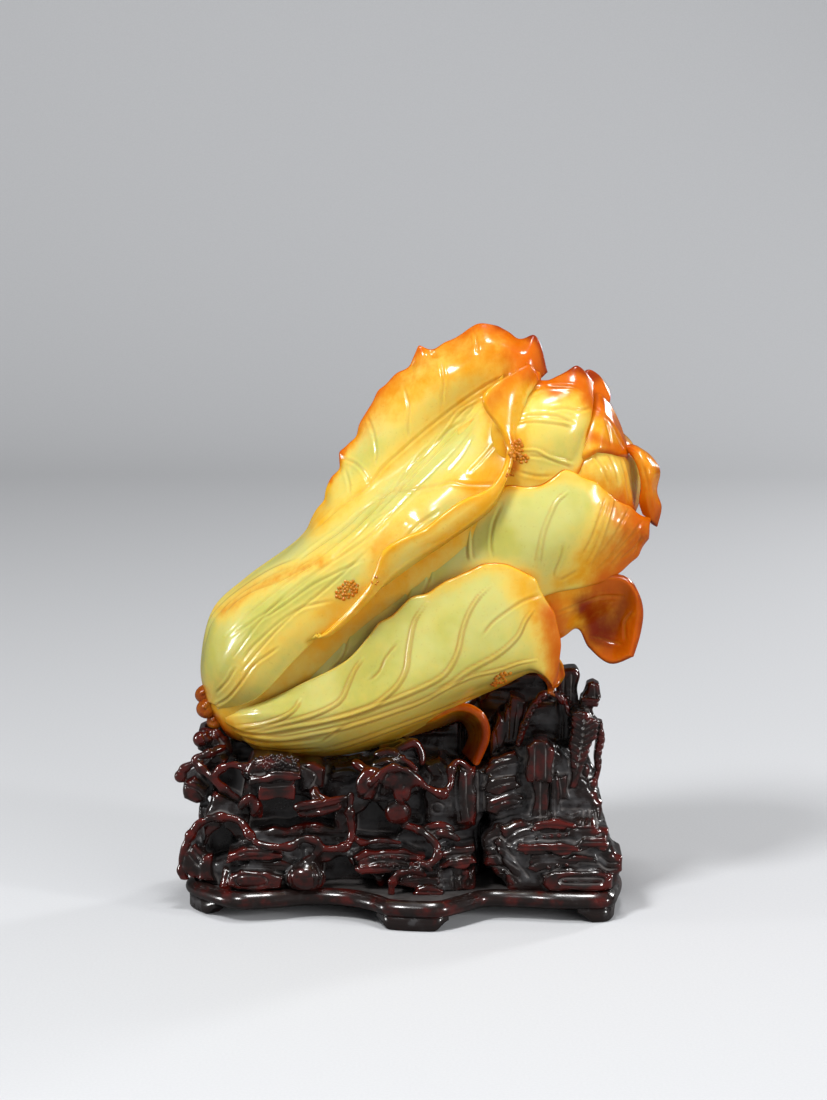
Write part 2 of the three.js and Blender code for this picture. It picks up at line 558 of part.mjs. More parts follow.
// Vines wind over the rocks.
const vines_pixels = [
  [[222, 748, -24], [208, 754, -34], [195, 760, -38], [202, 769, -42], [213, 778, -48],
    [224, 788, -50], [240, 800, -48]],
  [[179, 777, -32], [184, 769, -34], [193, 764, -36], [201, 762, -38]],
  [[213, 778, -48], [222, 768, -50], [234, 764, -54], [246, 766, -60], [256, 762, -66]],
  [[186, 888, -38], [181, 872, -40], [183, 854, -42], [190, 836, -44], [202, 822, -48],
    [220, 817, -52], [240, 821, -56], [250, 834, -64], [262, 844, -72], [290, 845, -78],
    [302, 838, -78], [315, 839, -76], [324, 847, -74], [344, 846, -72], [352, 834, -68],
    [350, 812, -68], [351, 794, -66]],
  [[316, 840, -76], [318, 850, -74], [308, 860, -72]],
  [[414, 776, -74], [426, 786, -78], [442, 796, -80], [452, 786, -76], [450, 768, -70],
    [457, 760, -66], [470, 769, -60]],
  [[404, 824, -66], [420, 829, -74], [434, 840, -82], [438, 852, -86], [430, 861, -88],
    [414, 867, -88], [400, 871, -86], [393, 880, -84], [391, 894, -80]],
  [[518, 744, -44], [524, 724, -46], [532, 706, -44], [542, 695, -40], [552, 693, -36],
    [562, 700, -32], [570, 714, -30]],
  [[236, 872, 88], [250, 830, 84], [278, 800, 86], [318, 800, 88], [352, 818, 92], [384, 836, 100],
    [424, 822, 104], [470, 806, 96], [508, 782, 86], [546, 756, 82]],
  [[384, 836, 100], [376, 856, 102], [388, 874, 106], [380, 892, 104]],
];

// Buds, fruits, gourds and knots: [across, down, depth, radius].
const knots_pixels = [
  [180, 777, -32, 6.5],
  [202, 740, -22, 9.5],
  [398, 781, -76, 10.5],
  [399, 812, -68, 11.5],
  [384, 752, -56, 6.5],
  [594, 799, -26, 8],
  [466, 838, 108, 11],
  [548, 752, 84, 10],
  [236, 874, 86, 8.5],
  [305, 876, -68, 19],
  [300, 856, 106, 13.5],
];

// Hollows pierce the rockwork between its ledges.
const hollows_pixels = [
  [-90, -12, 1, [[250, 838], [250, 812], [262, 800], [296, 802], [316, 814], [336, 818], [334, 836],
    [300, 834]]],
  [-90, -22, 1, [[356, 846], [358, 826], [374, 812], [392, 828], [404, 836], [396, 847]]],
  [-90, -26, 1, [[322, 896], [322, 874], [346, 868], [370, 880], [378, 894]]],
  [-90, -10, 1, [[478, 900], [474, 842], [486, 822], [494, 850], [504, 880], [508, 896]]],
  [-90, -6, 1, [[216, 800], [218, 780], [232, 774], [246, 790], [238, 812]]],
  [-90, -14, 1, [[206, 872], [208, 846], [222, 834], [238, 850], [236, 866]]],
  [30, 130, 1, [[372, 884], [366, 836], [376, 806], [388, 812], [392, 850], [386, 884]]],
  [66, 130, 1, [[500, 880], [504, 846], [512, 812], [522, 846], [520, 880]]],
  [60, 130, 1, [[262, 880], [270, 850], [284, 842], [294, 852], [290, 880]]],
];

// Seams between the blocks: across at two of them, depth at the third, down at the fourth.
const seams_pixels = { left: 281, right: 483, back: 22, tower: 821, tower_depth: -40 };

// Section of the plinth's moulded rim, from underneath to the sunk floor: shares of rim_width
// inwards from the outline, and of plinth_thickness upwards.
const rim_section_shares = [
  [0.5, 0], [0.12, 0.2], [0, 0.45], [0.1, 0.72], [0.42, 0.96], [0.62, 1], [0.86, 1],
];

// Dowels, each standing in one piece and reaching up into another: [across, depth].
const floor_dowels_pixels = {
  left_rock_dowel: [250, -14],
  centre_rock_dowel: [396, -12],
  ledge_dowel: [548, -26],
  back_rock_dowel: [440, 62],
};
const tower_dowel_pixels = [546, -18];
const dowel_sides = 12;

function boxBetween(low, high) {
  const geometry = new THREE.BoxGeometry(...high.map((value, c) => value - low[c]));
  geometry.translate(...high.map((value, c) => (value + low[c]) / 2));
  return solidOf(geometry);
}

// A point of the stand, whose length and depth follow the plinth's.
function placedOnStand([across, down, depth]) {
  const { z } = placed([across, down, depth]);
  return new THREE.Vector3((across - ground_centre_pixels[0]) * stand_across, depth * stand_depth, z);
}

function rockSolid([front_depth, rear_depth, rear_share, outline]) {
  const front = outline.map(([across, down]) => placedOnStand([across, down, front_depth]));
  const middle = new THREE.Vector3();
  front.forEach((point) => middle.addScaledVector(point, 1 / front.length));
  const rear = front.map((point) => {
    const drawn_in = middle.clone().lerp(point, rear_share);
    drawn_in.y = rear_depth * stand_depth;
    return drawn_in;
  });
  return solidThrough([front, rear]);
}

function vineSolid(points) {
  const curve = new THREE.CatmullRomCurve3(points.map(placedOnStand));
  const sides = 6;
  const corners = Array.from({ length: sides }, (_, k) => {
    const turn = (k / sides) * 2 * Math.PI;
    return new THREE.Vector2(vine_radius * Math.cos(turn), vine_radius * Math.sin(turn));
  });
  const steps = (points.length - 1) * 2;
  const settings = { steps, extrudePath: curve, bevelEnabled: false };
  return solidOf(new THREE.ExtrudeGeometry(new THREE.Shape(corners), settings));
}

const plinth_curve = new THREE.CatmullRomCurve3(
  plinth_outline_shares.map(([x, y]) => new THREE.Vector3(x * plinth_length, y * plinth_depth, 0)),
  true,
);

// A point of the plinth's outline, drawn in by an inset.
function outlinePoint(share, inset, height) {
  const along = THREE.MathUtils.euclideanModulo(share, 1);
  const course = plinth_curve.getTangentAt(along);
  const point = plinth_curve.getPointAt(along);
  return new THREE.Vector3(point.x + inset * course.y, point.y - inset * course.x, height);
}

function outlineRing(inset, height) {
  return Array.from({ length: plinth_steps }, (_, i) => outlinePoint(i / plinth_steps, inset, height));
}

function plinthSolid() {
  const rings = rim_section_shares.map(([inwards, upwards]) =>
    outlineRing(inwards * rim_width, foot_height + upwards * plinth_thickness),
  );
  return solidThrough([...rings, outlineRing(rim_width, floor_height)]);
}

// A bracket foot hangs below a stretch of the rim and narrows to a flat pad on the ground.
function footSolid([start, end]) {
  const steps = 10;
  const pad_share = 0.55;
  const lip_share = 0.25;
  const widths = [foot_inset, foot_inset + foot_wall / 2, foot_inset + foot_wall];
  const grid = (low) =>
    Array.from({ length: steps + 1 }, (_, i) => {
      const share = THREE.MathUtils.lerp(start, end, i / steps);
      const out = Math.abs((2 * i) / steps - 1);
      const drop = THREE.MathUtils.smoothstep(1 - out, 0, 1 - pad_share);
      const depth = foot_height * THREE.MathUtils.lerp(lip_share, 1, drop);
      return widths.map((inset) => outlinePoint(share, inset, low ? foot_height - depth : foot_height));
    });
  return slabBetween(grid(false), grid(true));
}

function dowelSolid([across, depth], foot, gap) {
  const radius = dowel_radius + gap;
  const length = dowel_length + 2 * gap;
  const geometry = new THREE.CylinderGeometry(radius, radius, length, dowel_sides);
  geometry.rotateX(Math.PI / 2);
  const { x, y } = placedOnStand([across, 0, depth]);
  geometry.translate(x, y, foot + dowel_length / 2);
  return solidOf(geometry);
}

// The room above the jade's underside, less the seat gap, that it needs to be lifted out.
function liftingRoom(jade) {
  const { numProp, vertProperties, triVerts } = jade.getMesh();
  const corners = Array.from(triVerts, (v) => new THREE.Vector3().fromArray(vertProperties, v * numProp));
  const { min, max } = new THREE.Box3().setFromPoints(corners);
  const margin = 2;
  const place = (i, axis) => min[axis] + (i - margin) * seat_step;
  const step = (value, axis) => (value - min[axis]) / seat_step + margin;
  const counts = ["x", "y"].map((axis) => Math.ceil(step(max[axis], axis)) + margin);
  const underside = Array.from({ length: counts[0] }, () => Array(counts[1]).fill(Infinity));
  const lower = (i, j, z) => {
    underside[i][j] = Math.min(underside[i][j], z);
  };
  const bary = new THREE.Vector3();
  const spot = new THREE.Vector3();
  for (let t = 0; t < corners.length; t += 3) {
    const face = corners.slice(t, t + 3);
    face.forEach((point, k) => {
      const next = face[(k + 1) % 3];
      const stops = Math.ceil((2 * point.distanceTo(next)) / seat_step);
      for (let stop = 0; stop < stops; stop++) {
        const { x, y, z } = point.clone().lerp(next, stop / stops);
        for (const i of [Math.floor(step(x, "x")), Math.ceil(step(x, "x"))]) {
          lower(i, Math.floor(step(y, "y")), z);
          lower(i, Math.ceil(step(y, "y")), z);
        }
      }
    });
    const flat = new THREE.Triangle(...face.map(({ x, y }) => new THREE.Vector3(x, y, 0)));
    const box = new THREE.Box3().setFromPoints(face);
    for (let i = Math.ceil(step(box.min.x, "x")); i <= step(box.max.x, "x"); i++) {
      for (let j = Math.ceil(step(box.min.y, "y")); j <= step(box.max.y, "y"); j++) {
        spot.set(place(i, "x"), place(j, "y"), 0);
        if (!flat.getBarycoord(spot, bary)) continue;
        if (Math.min(bary.x, bary.y, bary.z) < 0) continue;
        lower(i, j, bary.x * face[0].z + bary.y * face[1].z + bary.z * face[2].z);
      }
    }
  }
  const grid = (height) =>
    underside.map((row, i) =>
      row.map((_, j) => new THREE.Vector3(place(i, "x"), place(j, "y"), height(i, j))),
    );
  const bottom = (i, j) => {
    const rows = underside.slice(Math.max(i - 1, 0), i + 2);
    const around = rows.flatMap((row) => row.slice(Math.max(j - 1, 0), j + 2));
    return Math.min(Math.min(...around) - seat_gap, max.z);
  };
  return slabBetween(grid(() => max.z + seat_step), grid(bottom));
}

// Where a wooden block can stand: inside the rim at the floor, and anywhere above the rim.
function standingRoom() {
  const inset = rim_width + seam_gap;
  const over_rim = plinth_top + seam_gap;
  const column = solidThrough([outlineRing(inset, floor_height), outlineRing(inset, jade_length)]);
  const reach = [plinth_length, plinth_depth];
  return column.add(boxBetween([-reach[0], -reach[1], over_rim], [...reach, jade_length]));
}

const left_seam = placedOnStand([seams_pixels.left, 0, 0]).x;
const right_seam = placedOnStand([seams_pixels.right, 0, 0]).x;
const back_seam = placedOnStand([0, 0, seams_pixels.back]).y;
const tower_seam = placedOnStand([0, seams_pixels.tower, seams_pixels.tower_depth]).z;
const half_seam = seam_gap / 2;
const [left_end, right_end] = [-plinth_length, plinth_length];
const [front_end, back_end] = [-plinth_depth, plinth_depth];
const room = standingRoom().subtract(liftingRoom(jade_solid));

const floor_dowels = Object.fromEntries(
  Object.entries(floor_dowels_pixels).map(([name, spot]) => [name, [spot, floor_height - dowel_bite]]),
);
const dowels = { ...floor_dowels, tower_dowel: [tower_dowel_pixels, tower_seam - dowel_length / 2] };
const bores = joined(Object.values(dowels).map(([spot, foot]) => dowelSolid(spot, foot, dowel_gap)));

const rockwork = joined([
  joined([...front_rocks_pixels, ...rear_rocks_pixels].map(rockSolid))
    .subtract(joined(hollows_pixels.map(rockSolid))),
  ...vines_pixels.map(vineSolid),
  ...knots_pixels.map((knot) => ball(knot, placedOnStand)),
]).intersect(room).subtract(bores);

// The rockwork is built up from blocks that meet at straight seams.
const block_reach = {
  left_rock_block: {
    low: [left_end, front_end, floor_height],
    high: [left_seam - half_seam, back_seam - half_seam, jade_length],
  },
  centre_rock_block: {
    low: [left_seam + half_seam, front_end, floor_height],
    high: [right_seam - half_seam, back_seam - half_seam, jade_length],
  },
  ledge_block: {
    low: [right_seam + half_seam, front_end, floor_height],
    high: [right_end, back_seam - half_seam, tower_seam - half_seam],
  },
  tower_block: {
    low: [right_seam + half_seam, front_end, tower_seam + half_seam],
    high: [right_end, back_seam - half_seam, jade_length],
  },
  back_rock_block: {
    low: [left_end, back_seam + half_seam, floor_height],
    high: [right_end, back_end, jade_length],
  },
};

// Assembly

const part = new THREE.Group();

function addPiece(name, solid, material) {
  const mesh = new THREE.Mesh(geometryOf(solid), material);
  mesh.name = name;
  part.add(mesh);
}

const jade_material = new THREE.MeshStandardMaterial({ color: 0xbcb24a, roughness: 0.18, metalness: 0 });
const wood_material = new THREE.MeshStandardMaterial({ color: 0x2c120e, roughness: 0.3, metalness: 0 });
const dowel_material = new THREE.MeshStandardMaterial({ color: 0x8a6238, roughness: 0.7, metalness: 0 });

addPiece("jade_cabbage", jade_solid, jade_material);
addPiece("plinth_board", plinthSolid().subtract(bores), wood_material);
for (const [name, stretch] of Object.entries(foot_stretch_shares)) {
  addPiece(name, footSolid(stretch), wood_material);
}
for (const [name, { low, high }] of Object.entries(block_reach)) {
  addPiece(name, largestSkin(rockwork.intersect(boxBetween(low, high))), wood_material);
}
for (const [name, [spot, foot]] of Object.entries(dowels)) {
  addPiece(name, dowelSolid(spot, foot, 0), dowel_material);
}

// The origin is under the middle of the whole object, on the ground.
const whole = new THREE.Box3().setFromObject(part);
const middle = whole.getCenter(new THREE.Vector3());
part.position.set(-middle.x, -middle.y, 0);

export default part;
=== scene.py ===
# %% [markdown]
# # A jade cabbage on a carved hardwood stand
# This script dresses a finished CAD model: a boulder of jade carved as a leafy cabbage, loose in a seat
# of pierced rockwork cut from dark hardwood. The CAD model says where everything is. Here each shape is
# made again with the fine relief of the carving, and gets the colours and the polish of the real
# materials.
#
# The first cell loads the CAD model. Every object of it stays at the origin, with its place in its mesh.

# %% Load the CAD model as the frame
import math

import bpy
import numpy as np
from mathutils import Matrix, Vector
from mathutils.bvhtree import BVHTree


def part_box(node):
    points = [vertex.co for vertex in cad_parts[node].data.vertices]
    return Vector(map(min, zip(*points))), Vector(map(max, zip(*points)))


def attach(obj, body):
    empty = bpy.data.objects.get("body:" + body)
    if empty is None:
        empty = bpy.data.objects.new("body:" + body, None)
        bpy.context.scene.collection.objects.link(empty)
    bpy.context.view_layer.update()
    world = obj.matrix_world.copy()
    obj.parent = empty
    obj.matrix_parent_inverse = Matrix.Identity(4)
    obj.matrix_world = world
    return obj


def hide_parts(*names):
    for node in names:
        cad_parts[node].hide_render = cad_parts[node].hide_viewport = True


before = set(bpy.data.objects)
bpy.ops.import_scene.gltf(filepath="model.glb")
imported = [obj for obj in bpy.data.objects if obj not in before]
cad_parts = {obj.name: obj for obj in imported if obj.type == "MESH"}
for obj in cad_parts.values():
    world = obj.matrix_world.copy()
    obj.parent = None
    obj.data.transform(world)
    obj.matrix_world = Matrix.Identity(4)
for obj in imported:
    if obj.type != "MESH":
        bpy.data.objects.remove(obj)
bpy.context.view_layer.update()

# %% [markdown]
# ## From the picture to the room
# Every form of a free carving is irregular, so its shape is read from a picture: how far across and down
# a point is seen, and how far back it must lie. The camera looked 11 degrees down. One function turns
# such a point into metres, with the named values of the CAD source. The dowel under the left rocks tells
# how far the CAD model was moved to stand over the origin.

# %% Picture points to metres
pixel = 0.0004
millimetre = 0.001
view_tilt = math.radians(11)
sin_tilt, cos_tilt = math.sin(view_tilt), math.cos(view_tilt)
ground_centre_pixels = np.array([403, 904])
left_dowel_pixels = np.array([250, -14])

left_dowel_low, left_dowel_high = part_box("left_rock_dowel")
dowel_middle = (np.array(left_dowel_low) + np.array(left_dowel_high)) / 2
shift_across = dowel_middle[0] - (left_dowel_pixels[0] - ground_centre_pixels[0]) * pixel
shift_back = dowel_middle[1] - left_dowel_pixels[1] * pixel


def placed(points):
    """Metres of picture points [across, down, depth], for an array of any shape."""
    across, down, depth = np.moveaxis(np.asarray(points, float), -1, 0)
    back = depth * pixel
    seen_height = (ground_centre_pixels[1] - down) * pixel
    height = (seen_height - back * sin_tilt) / cos_tilt
    x = (across - ground_centre_pixels[0]) * pixel + shift_across
    return np.stack([x, back + shift_back, height], -1)


def points_of(row, size=2):
    """Points of a flat row: across and down of each in turn, and depth too where the size is 3."""
    return np.reshape(row, (-1, size))


print("shift of the CAD model, mm:", round(shift_across * 1000, 2), round(shift_back * 1000, 2))

# %% [markdown]
# ## Camera, floor and lights
# The camera looks slightly down, from far enough away for little perspective. Polished jade shows its
# form through a few soft highlights, so the lights are six lamps: a key at the upper left in front, one
# above, a strip at the left, a broad fill that leaves no highlight, a narrow one at the right, and one
# behind that draws the edges of the leaves. The floor is plain and curves up behind, so that no horizon
# cuts the picture.

# %% Camera
picture_pixels = (827, 1100)
picture_height = picture_pixels[1] * pixel
camera_distance = 1.6
picture_centre_pixels = [picture_pixels[0] / 2, picture_pixels[1] / 2, 0]
target = placed(picture_centre_pixels)
toward_camera = np.array([0, -cos_tilt, sin_tilt])

camera_data = bpy.data.cameras.new("camera")
camera_data.sensor_fit = "VERTICAL"
camera_data.angle = 2 * math.atan(picture_height / 2 / camera_distance)
camera = bpy.data.objects.new("camera", camera_data)
bpy.context.collection.objects.link(camera)
camera.location = target + toward_camera * camera_distance
camera.rotation_euler = (math.pi / 2 - view_tilt, 0, 0)
bpy.context.scene.camera = camera
bpy.context.scene.view_settings.view_transform = "Standard"
print("camera at", [round(v, 3) for v in camera.location])

# %% [markdown]
# A mesh is quickest to build as plain arrays of points and corners. This helper makes one, turns its
# faces outwards by the sign of its volume, and shades it smooth.

# %% A mesh from arrays
def corner_triples(faces):
    """Triangles of a list of triangle and quad arrays."""
    triples = []
    for block in faces:
        block = np.asarray(block, np.int64)
        triples.append(block[:, :3])
        if block.shape[1] == 4:
            triples.append(block[:, [0, 2, 3]])
    return np.concatenate(triples)


def enclosed_volume(points, triples):
    a, b, c = points[triples[:, 0]], points[triples[:, 1]], points[triples[:, 2]]
    return float(np.einsum("ij,ij->i", a, np.cross(b, c)).sum() / 6)


def mesh_object(name, points, faces, closed=True):
    points = np.asarray(points, float)
    middle = points.mean(0)
    if closed and enclosed_volume(points - middle, corner_triples(faces)) < 0:
        faces = [np.asarray(block)[:, ::-1] for block in faces]
    mesh = bpy.data.meshes.new(name)
    loops = np.concatenate([np.asarray(block).ravel() for block in faces])
    sizes = np.concatenate([np.full(len(block), np.asarray(block).shape[1]) for block in faces])
    mesh.vertices.add(len(points))
    mesh.vertices.foreach_set("co", points.ravel())
    mesh.loops.add(len(loops))
    mesh.loops.foreach_set("vertex_index", loops.astype(np.int32))
    mesh.polygons.add(len(sizes))
    mesh.polygons.foreach_set("loop_start", (np.cumsum(sizes) - sizes).astype(np.int32))
    mesh.polygons.foreach_set("use_smooth", np.ones(len(sizes), bool))
    mesh.update(calc_edges=True)
    mesh.validate()
    made = bpy.data.objects.new(name, mesh)
    bpy.context.collection.objects.link(made)
    return made


def points_in(mesh):
    """The points of a mesh as one array."""
    points = np.empty(len(mesh.vertices) * 3)
    mesh.vertices.foreach_get("co", points)
    return points.reshape(-1, 3)


def grid_faces(at):
    """Quads between the neighbours in a grid of point numbers."""
    return np.stack([at[:-1, :-1], at[:-1, 1:], at[1:, 1:], at[1:, :-1]], -1).reshape(-1, 4)


def put_values(made, name, values):
    """Keeps one number for each vertex on the mesh, where its material can read it."""
    kept = made.data.attributes.new(name, "FLOAT", "POINT")
    kept.data.foreach_set("value", np.asarray(values, np.float32))

# %% [markdown]
# Node trees are easier to read as sums. A small class wraps an output socket, so that plus, minus and
# times add Math nodes. One method adds any other node from its settings and inputs.

# %% Shader maths as expressions
class Value:
    def __init__(self, tree, socket):
        self.tree, self.socket = tree, socket

    def math(self, operation, *others):
        return self.tree.node("ShaderNodeMath", {"operation": operation}, (self, *others))

    def __add__(self, other):
        return self.math("ADD", other)

    def __mul__(self, other):
        return self.math("MULTIPLY", other)

    def __sub__(self, other):
        return self.math("SUBTRACT", other)

    def __rsub__(self, other):
        return self.tree.node("ShaderNodeMath", {"operation": "SUBTRACT"}, (other, self))

    __radd__, __rmul__ = __add__, __mul__

    def between(self, low, high):
        """0 below low, 1 above high, and a soft step in between."""
        inputs = {"Value": self, "From Min": low, "From Max": high}
        return self.tree.node("ShaderNodeMapRange", {"interpolation_type": "SMOOTHSTEP"}, inputs)


class Finish:
    """A material under construction."""

    def __init__(self, name):
        self.material = bpy.data.materials.new(name)
        self.material.use_nodes = True
        self.nodes, self.links = self.material.node_tree.nodes, self.material.node_tree.links
        self.shader = next(n for n in self.nodes if n.type == "BSDF_PRINCIPLED")

    def put(self, socket, value):
        if isinstance(value, Value):
            self.links.new(value.socket, socket)
        elif isinstance(value, tuple) and len(value) == 3 and socket.type == "RGBA":
            socket.default_value = (*value, 1)
        else:
            socket.default_value = value

    def node(self, kind, settings=None, inputs=(), output=0):
        made = self.nodes.new(kind)
        for key, value in (settings or {}).items():
            setattr(made, key, value)
        named = inputs.items() if isinstance(inputs, dict) else enumerate(inputs)
        for key, value in named:
            self.put(made.inputs[key], value)
        return Value(self, made.outputs[output])

    def place(self, scale=1.0, centre=(0.0, 0.0, 0.0)):
        """Object coordinates in the piece's own frame."""
        coordinates = self.node("ShaderNodeTexCoord", output="Object")
        scales = scale if isinstance(scale, tuple) else (scale, scale, scale)
        inputs = {"Vector": coordinates, "Location": centre, "Scale": scales}
        return self.node("ShaderNodeMapping", {}, inputs)

    def kept(self, name):
        """A number that put_values left on the mesh."""
        return self.node("ShaderNodeAttribute", {"attribute_name": name}, output="Fac")

    def noise(self, scale, detail=2.0, roughness=0.5, vector=None):
        vector = vector or self.place()
        inputs = {"Vector": vector, "Scale": scale, "Detail": detail, "Roughness": roughness}
        return self.node("ShaderNodeTexNoise", {}, inputs)

    def mix(self, factor, first, second):
        """Colours mixed by a factor."""
        made = self.nodes.new("ShaderNodeMix")
        made.data_type = "RGBA"
        for socket, value in zip((made.inputs[0], made.inputs[6], made.inputs[7]), (factor, first, second)):
            self.put(socket, value)
        return Value(self, made.outputs[2])

    def bump(self, height, strength, distance):
        return self.node("ShaderNodeBump", {}, {"Height": height, "Strength": strength, "Distance": distance})

    def finish(self, **inputs):
        for key, value in inputs.items():
            self.put(self.shader.inputs[key.replace("_", " ")], value)
        return self.material


def give(made, material):
    """Puts one material on every slot of an object."""
    made.data.materials.clear()
    made.data.materials.append(material)

# %% Floor and backdrop
floor_half_width = 6.0
floor_front, floor_rear, backdrop_height, backdrop_bend = -6.0, 1.0, 5.0, 0.6
bend_angles = np.linspace(0, math.pi / 2, 24)
bend = backdrop_bend * np.stack([np.sin(bend_angles), 1 - np.cos(bend_angles)], 1)
profile = np.concatenate([
    [[floor_front, 0]], [floor_rear, 0] + bend, [[floor_rear + backdrop_bend, backdrop_height]]])
sides = np.repeat([[-floor_half_width], [floor_half_width]], len(profile), 0)
floor_points = np.concatenate([sides, np.tile(profile, (2, 1))], 1)
run = np.arange(len(profile) - 1)
floor_faces = np.stack([run, run + len(profile), run + len(profile) + 1, run + 1], 1)
floor = mesh_object("floor", floor_points, [floor_faces], closed=False)
floor_finish = Finish("pale_paper")
floor_colour, floor_fleck, floor_bounce = (0.62, 0.63, 0.65), (0.64, 0.65, 0.67), (0.12, 0.12, 0.123)
paper_grain = floor_finish.noise(900.0).between(0.3, 0.7)
floor_colour_mixed = floor_finish.mix(paper_grain, floor_colour, floor_fleck)
looked_at = floor_finish.node("ShaderNodeLightPath", output="Is Camera Ray")
floor_colour_mixed = floor_finish.mix(looked_at, floor_bounce, floor_colour_mixed)
give(floor, floor_finish.finish(Base_Color=floor_colour_mixed, Roughness=0.85))
print("floor points:", len(floor_points))

# %% Studio lights
lit_middle = np.array([0, 0, 0.13])


def softbox(name, across, back, up, width, height, watts, colour=(1.0, 1.0, 1.0)):
    """A rectangular lamp that faces the carving."""
    lamp = bpy.data.lights.new(name, "AREA")
    lamp.shape, lamp.size, lamp.size_y = "RECTANGLE", width, height
    lamp.energy, lamp.color = watts, colour
    made = bpy.data.objects.new(name, lamp)
    bpy.context.collection.objects.link(made)
    place = np.array([across, back, up])
    made.location = place
    aim = lit_middle - place
    flat = math.hypot(aim[0], aim[1])
    made.rotation_euler = (math.atan2(flat, -aim[2]), 0, math.atan2(aim[1], aim[0]) - math.pi / 2)
    return made


# Across, back and up, then width and height, all in metres, and watts.
softbox("key_light", -0.55, -0.8, 1.25, 0.28, 0.28, 15)
softbox("top_light", 0.1, -0.25, 1.45, 0.26, 0.22, 7)
softbox("left_light", -1.35, -0.12, 0.2, 0.12, 0.34, 6)
softbox("fill_light", 1.0, -1.4, 0.4, 1.3, 0.9, 13).visible_glossy = False
softbox("right_light", 1.25, -0.7, 0.42, 0.14, 0.3, 7)
softbox("edge_light", 0.95, 0.85, 0.5, 0.16, 0.24, 6)
world = bpy.data.worlds.new("studio")
bpy.context.scene.world = world
world.use_nodes = True
world_shade = next(n for n in world.node_tree.nodes if n.type == "BACKGROUND")
world_shade.inputs["Color"].default_value = (0.97, 0.98, 1.0, 1)
world_shade.inputs["Strength"].default_value = 0.19

# %% [markdown]
# ## The leaves
# On the real carving the leaves stand out of one stone, a few millimetres thick at the rim and fleshier
# at the middle. A leaf is drawn by the rails of the CAD source, which run side by side from root to tip
# on its outer face, with a smooth surface between them. Each leaf is a mesh of its own here, because the
# fine veins need more faces than one mesh should have. They all ride on one body and are sunk into the
# heart.

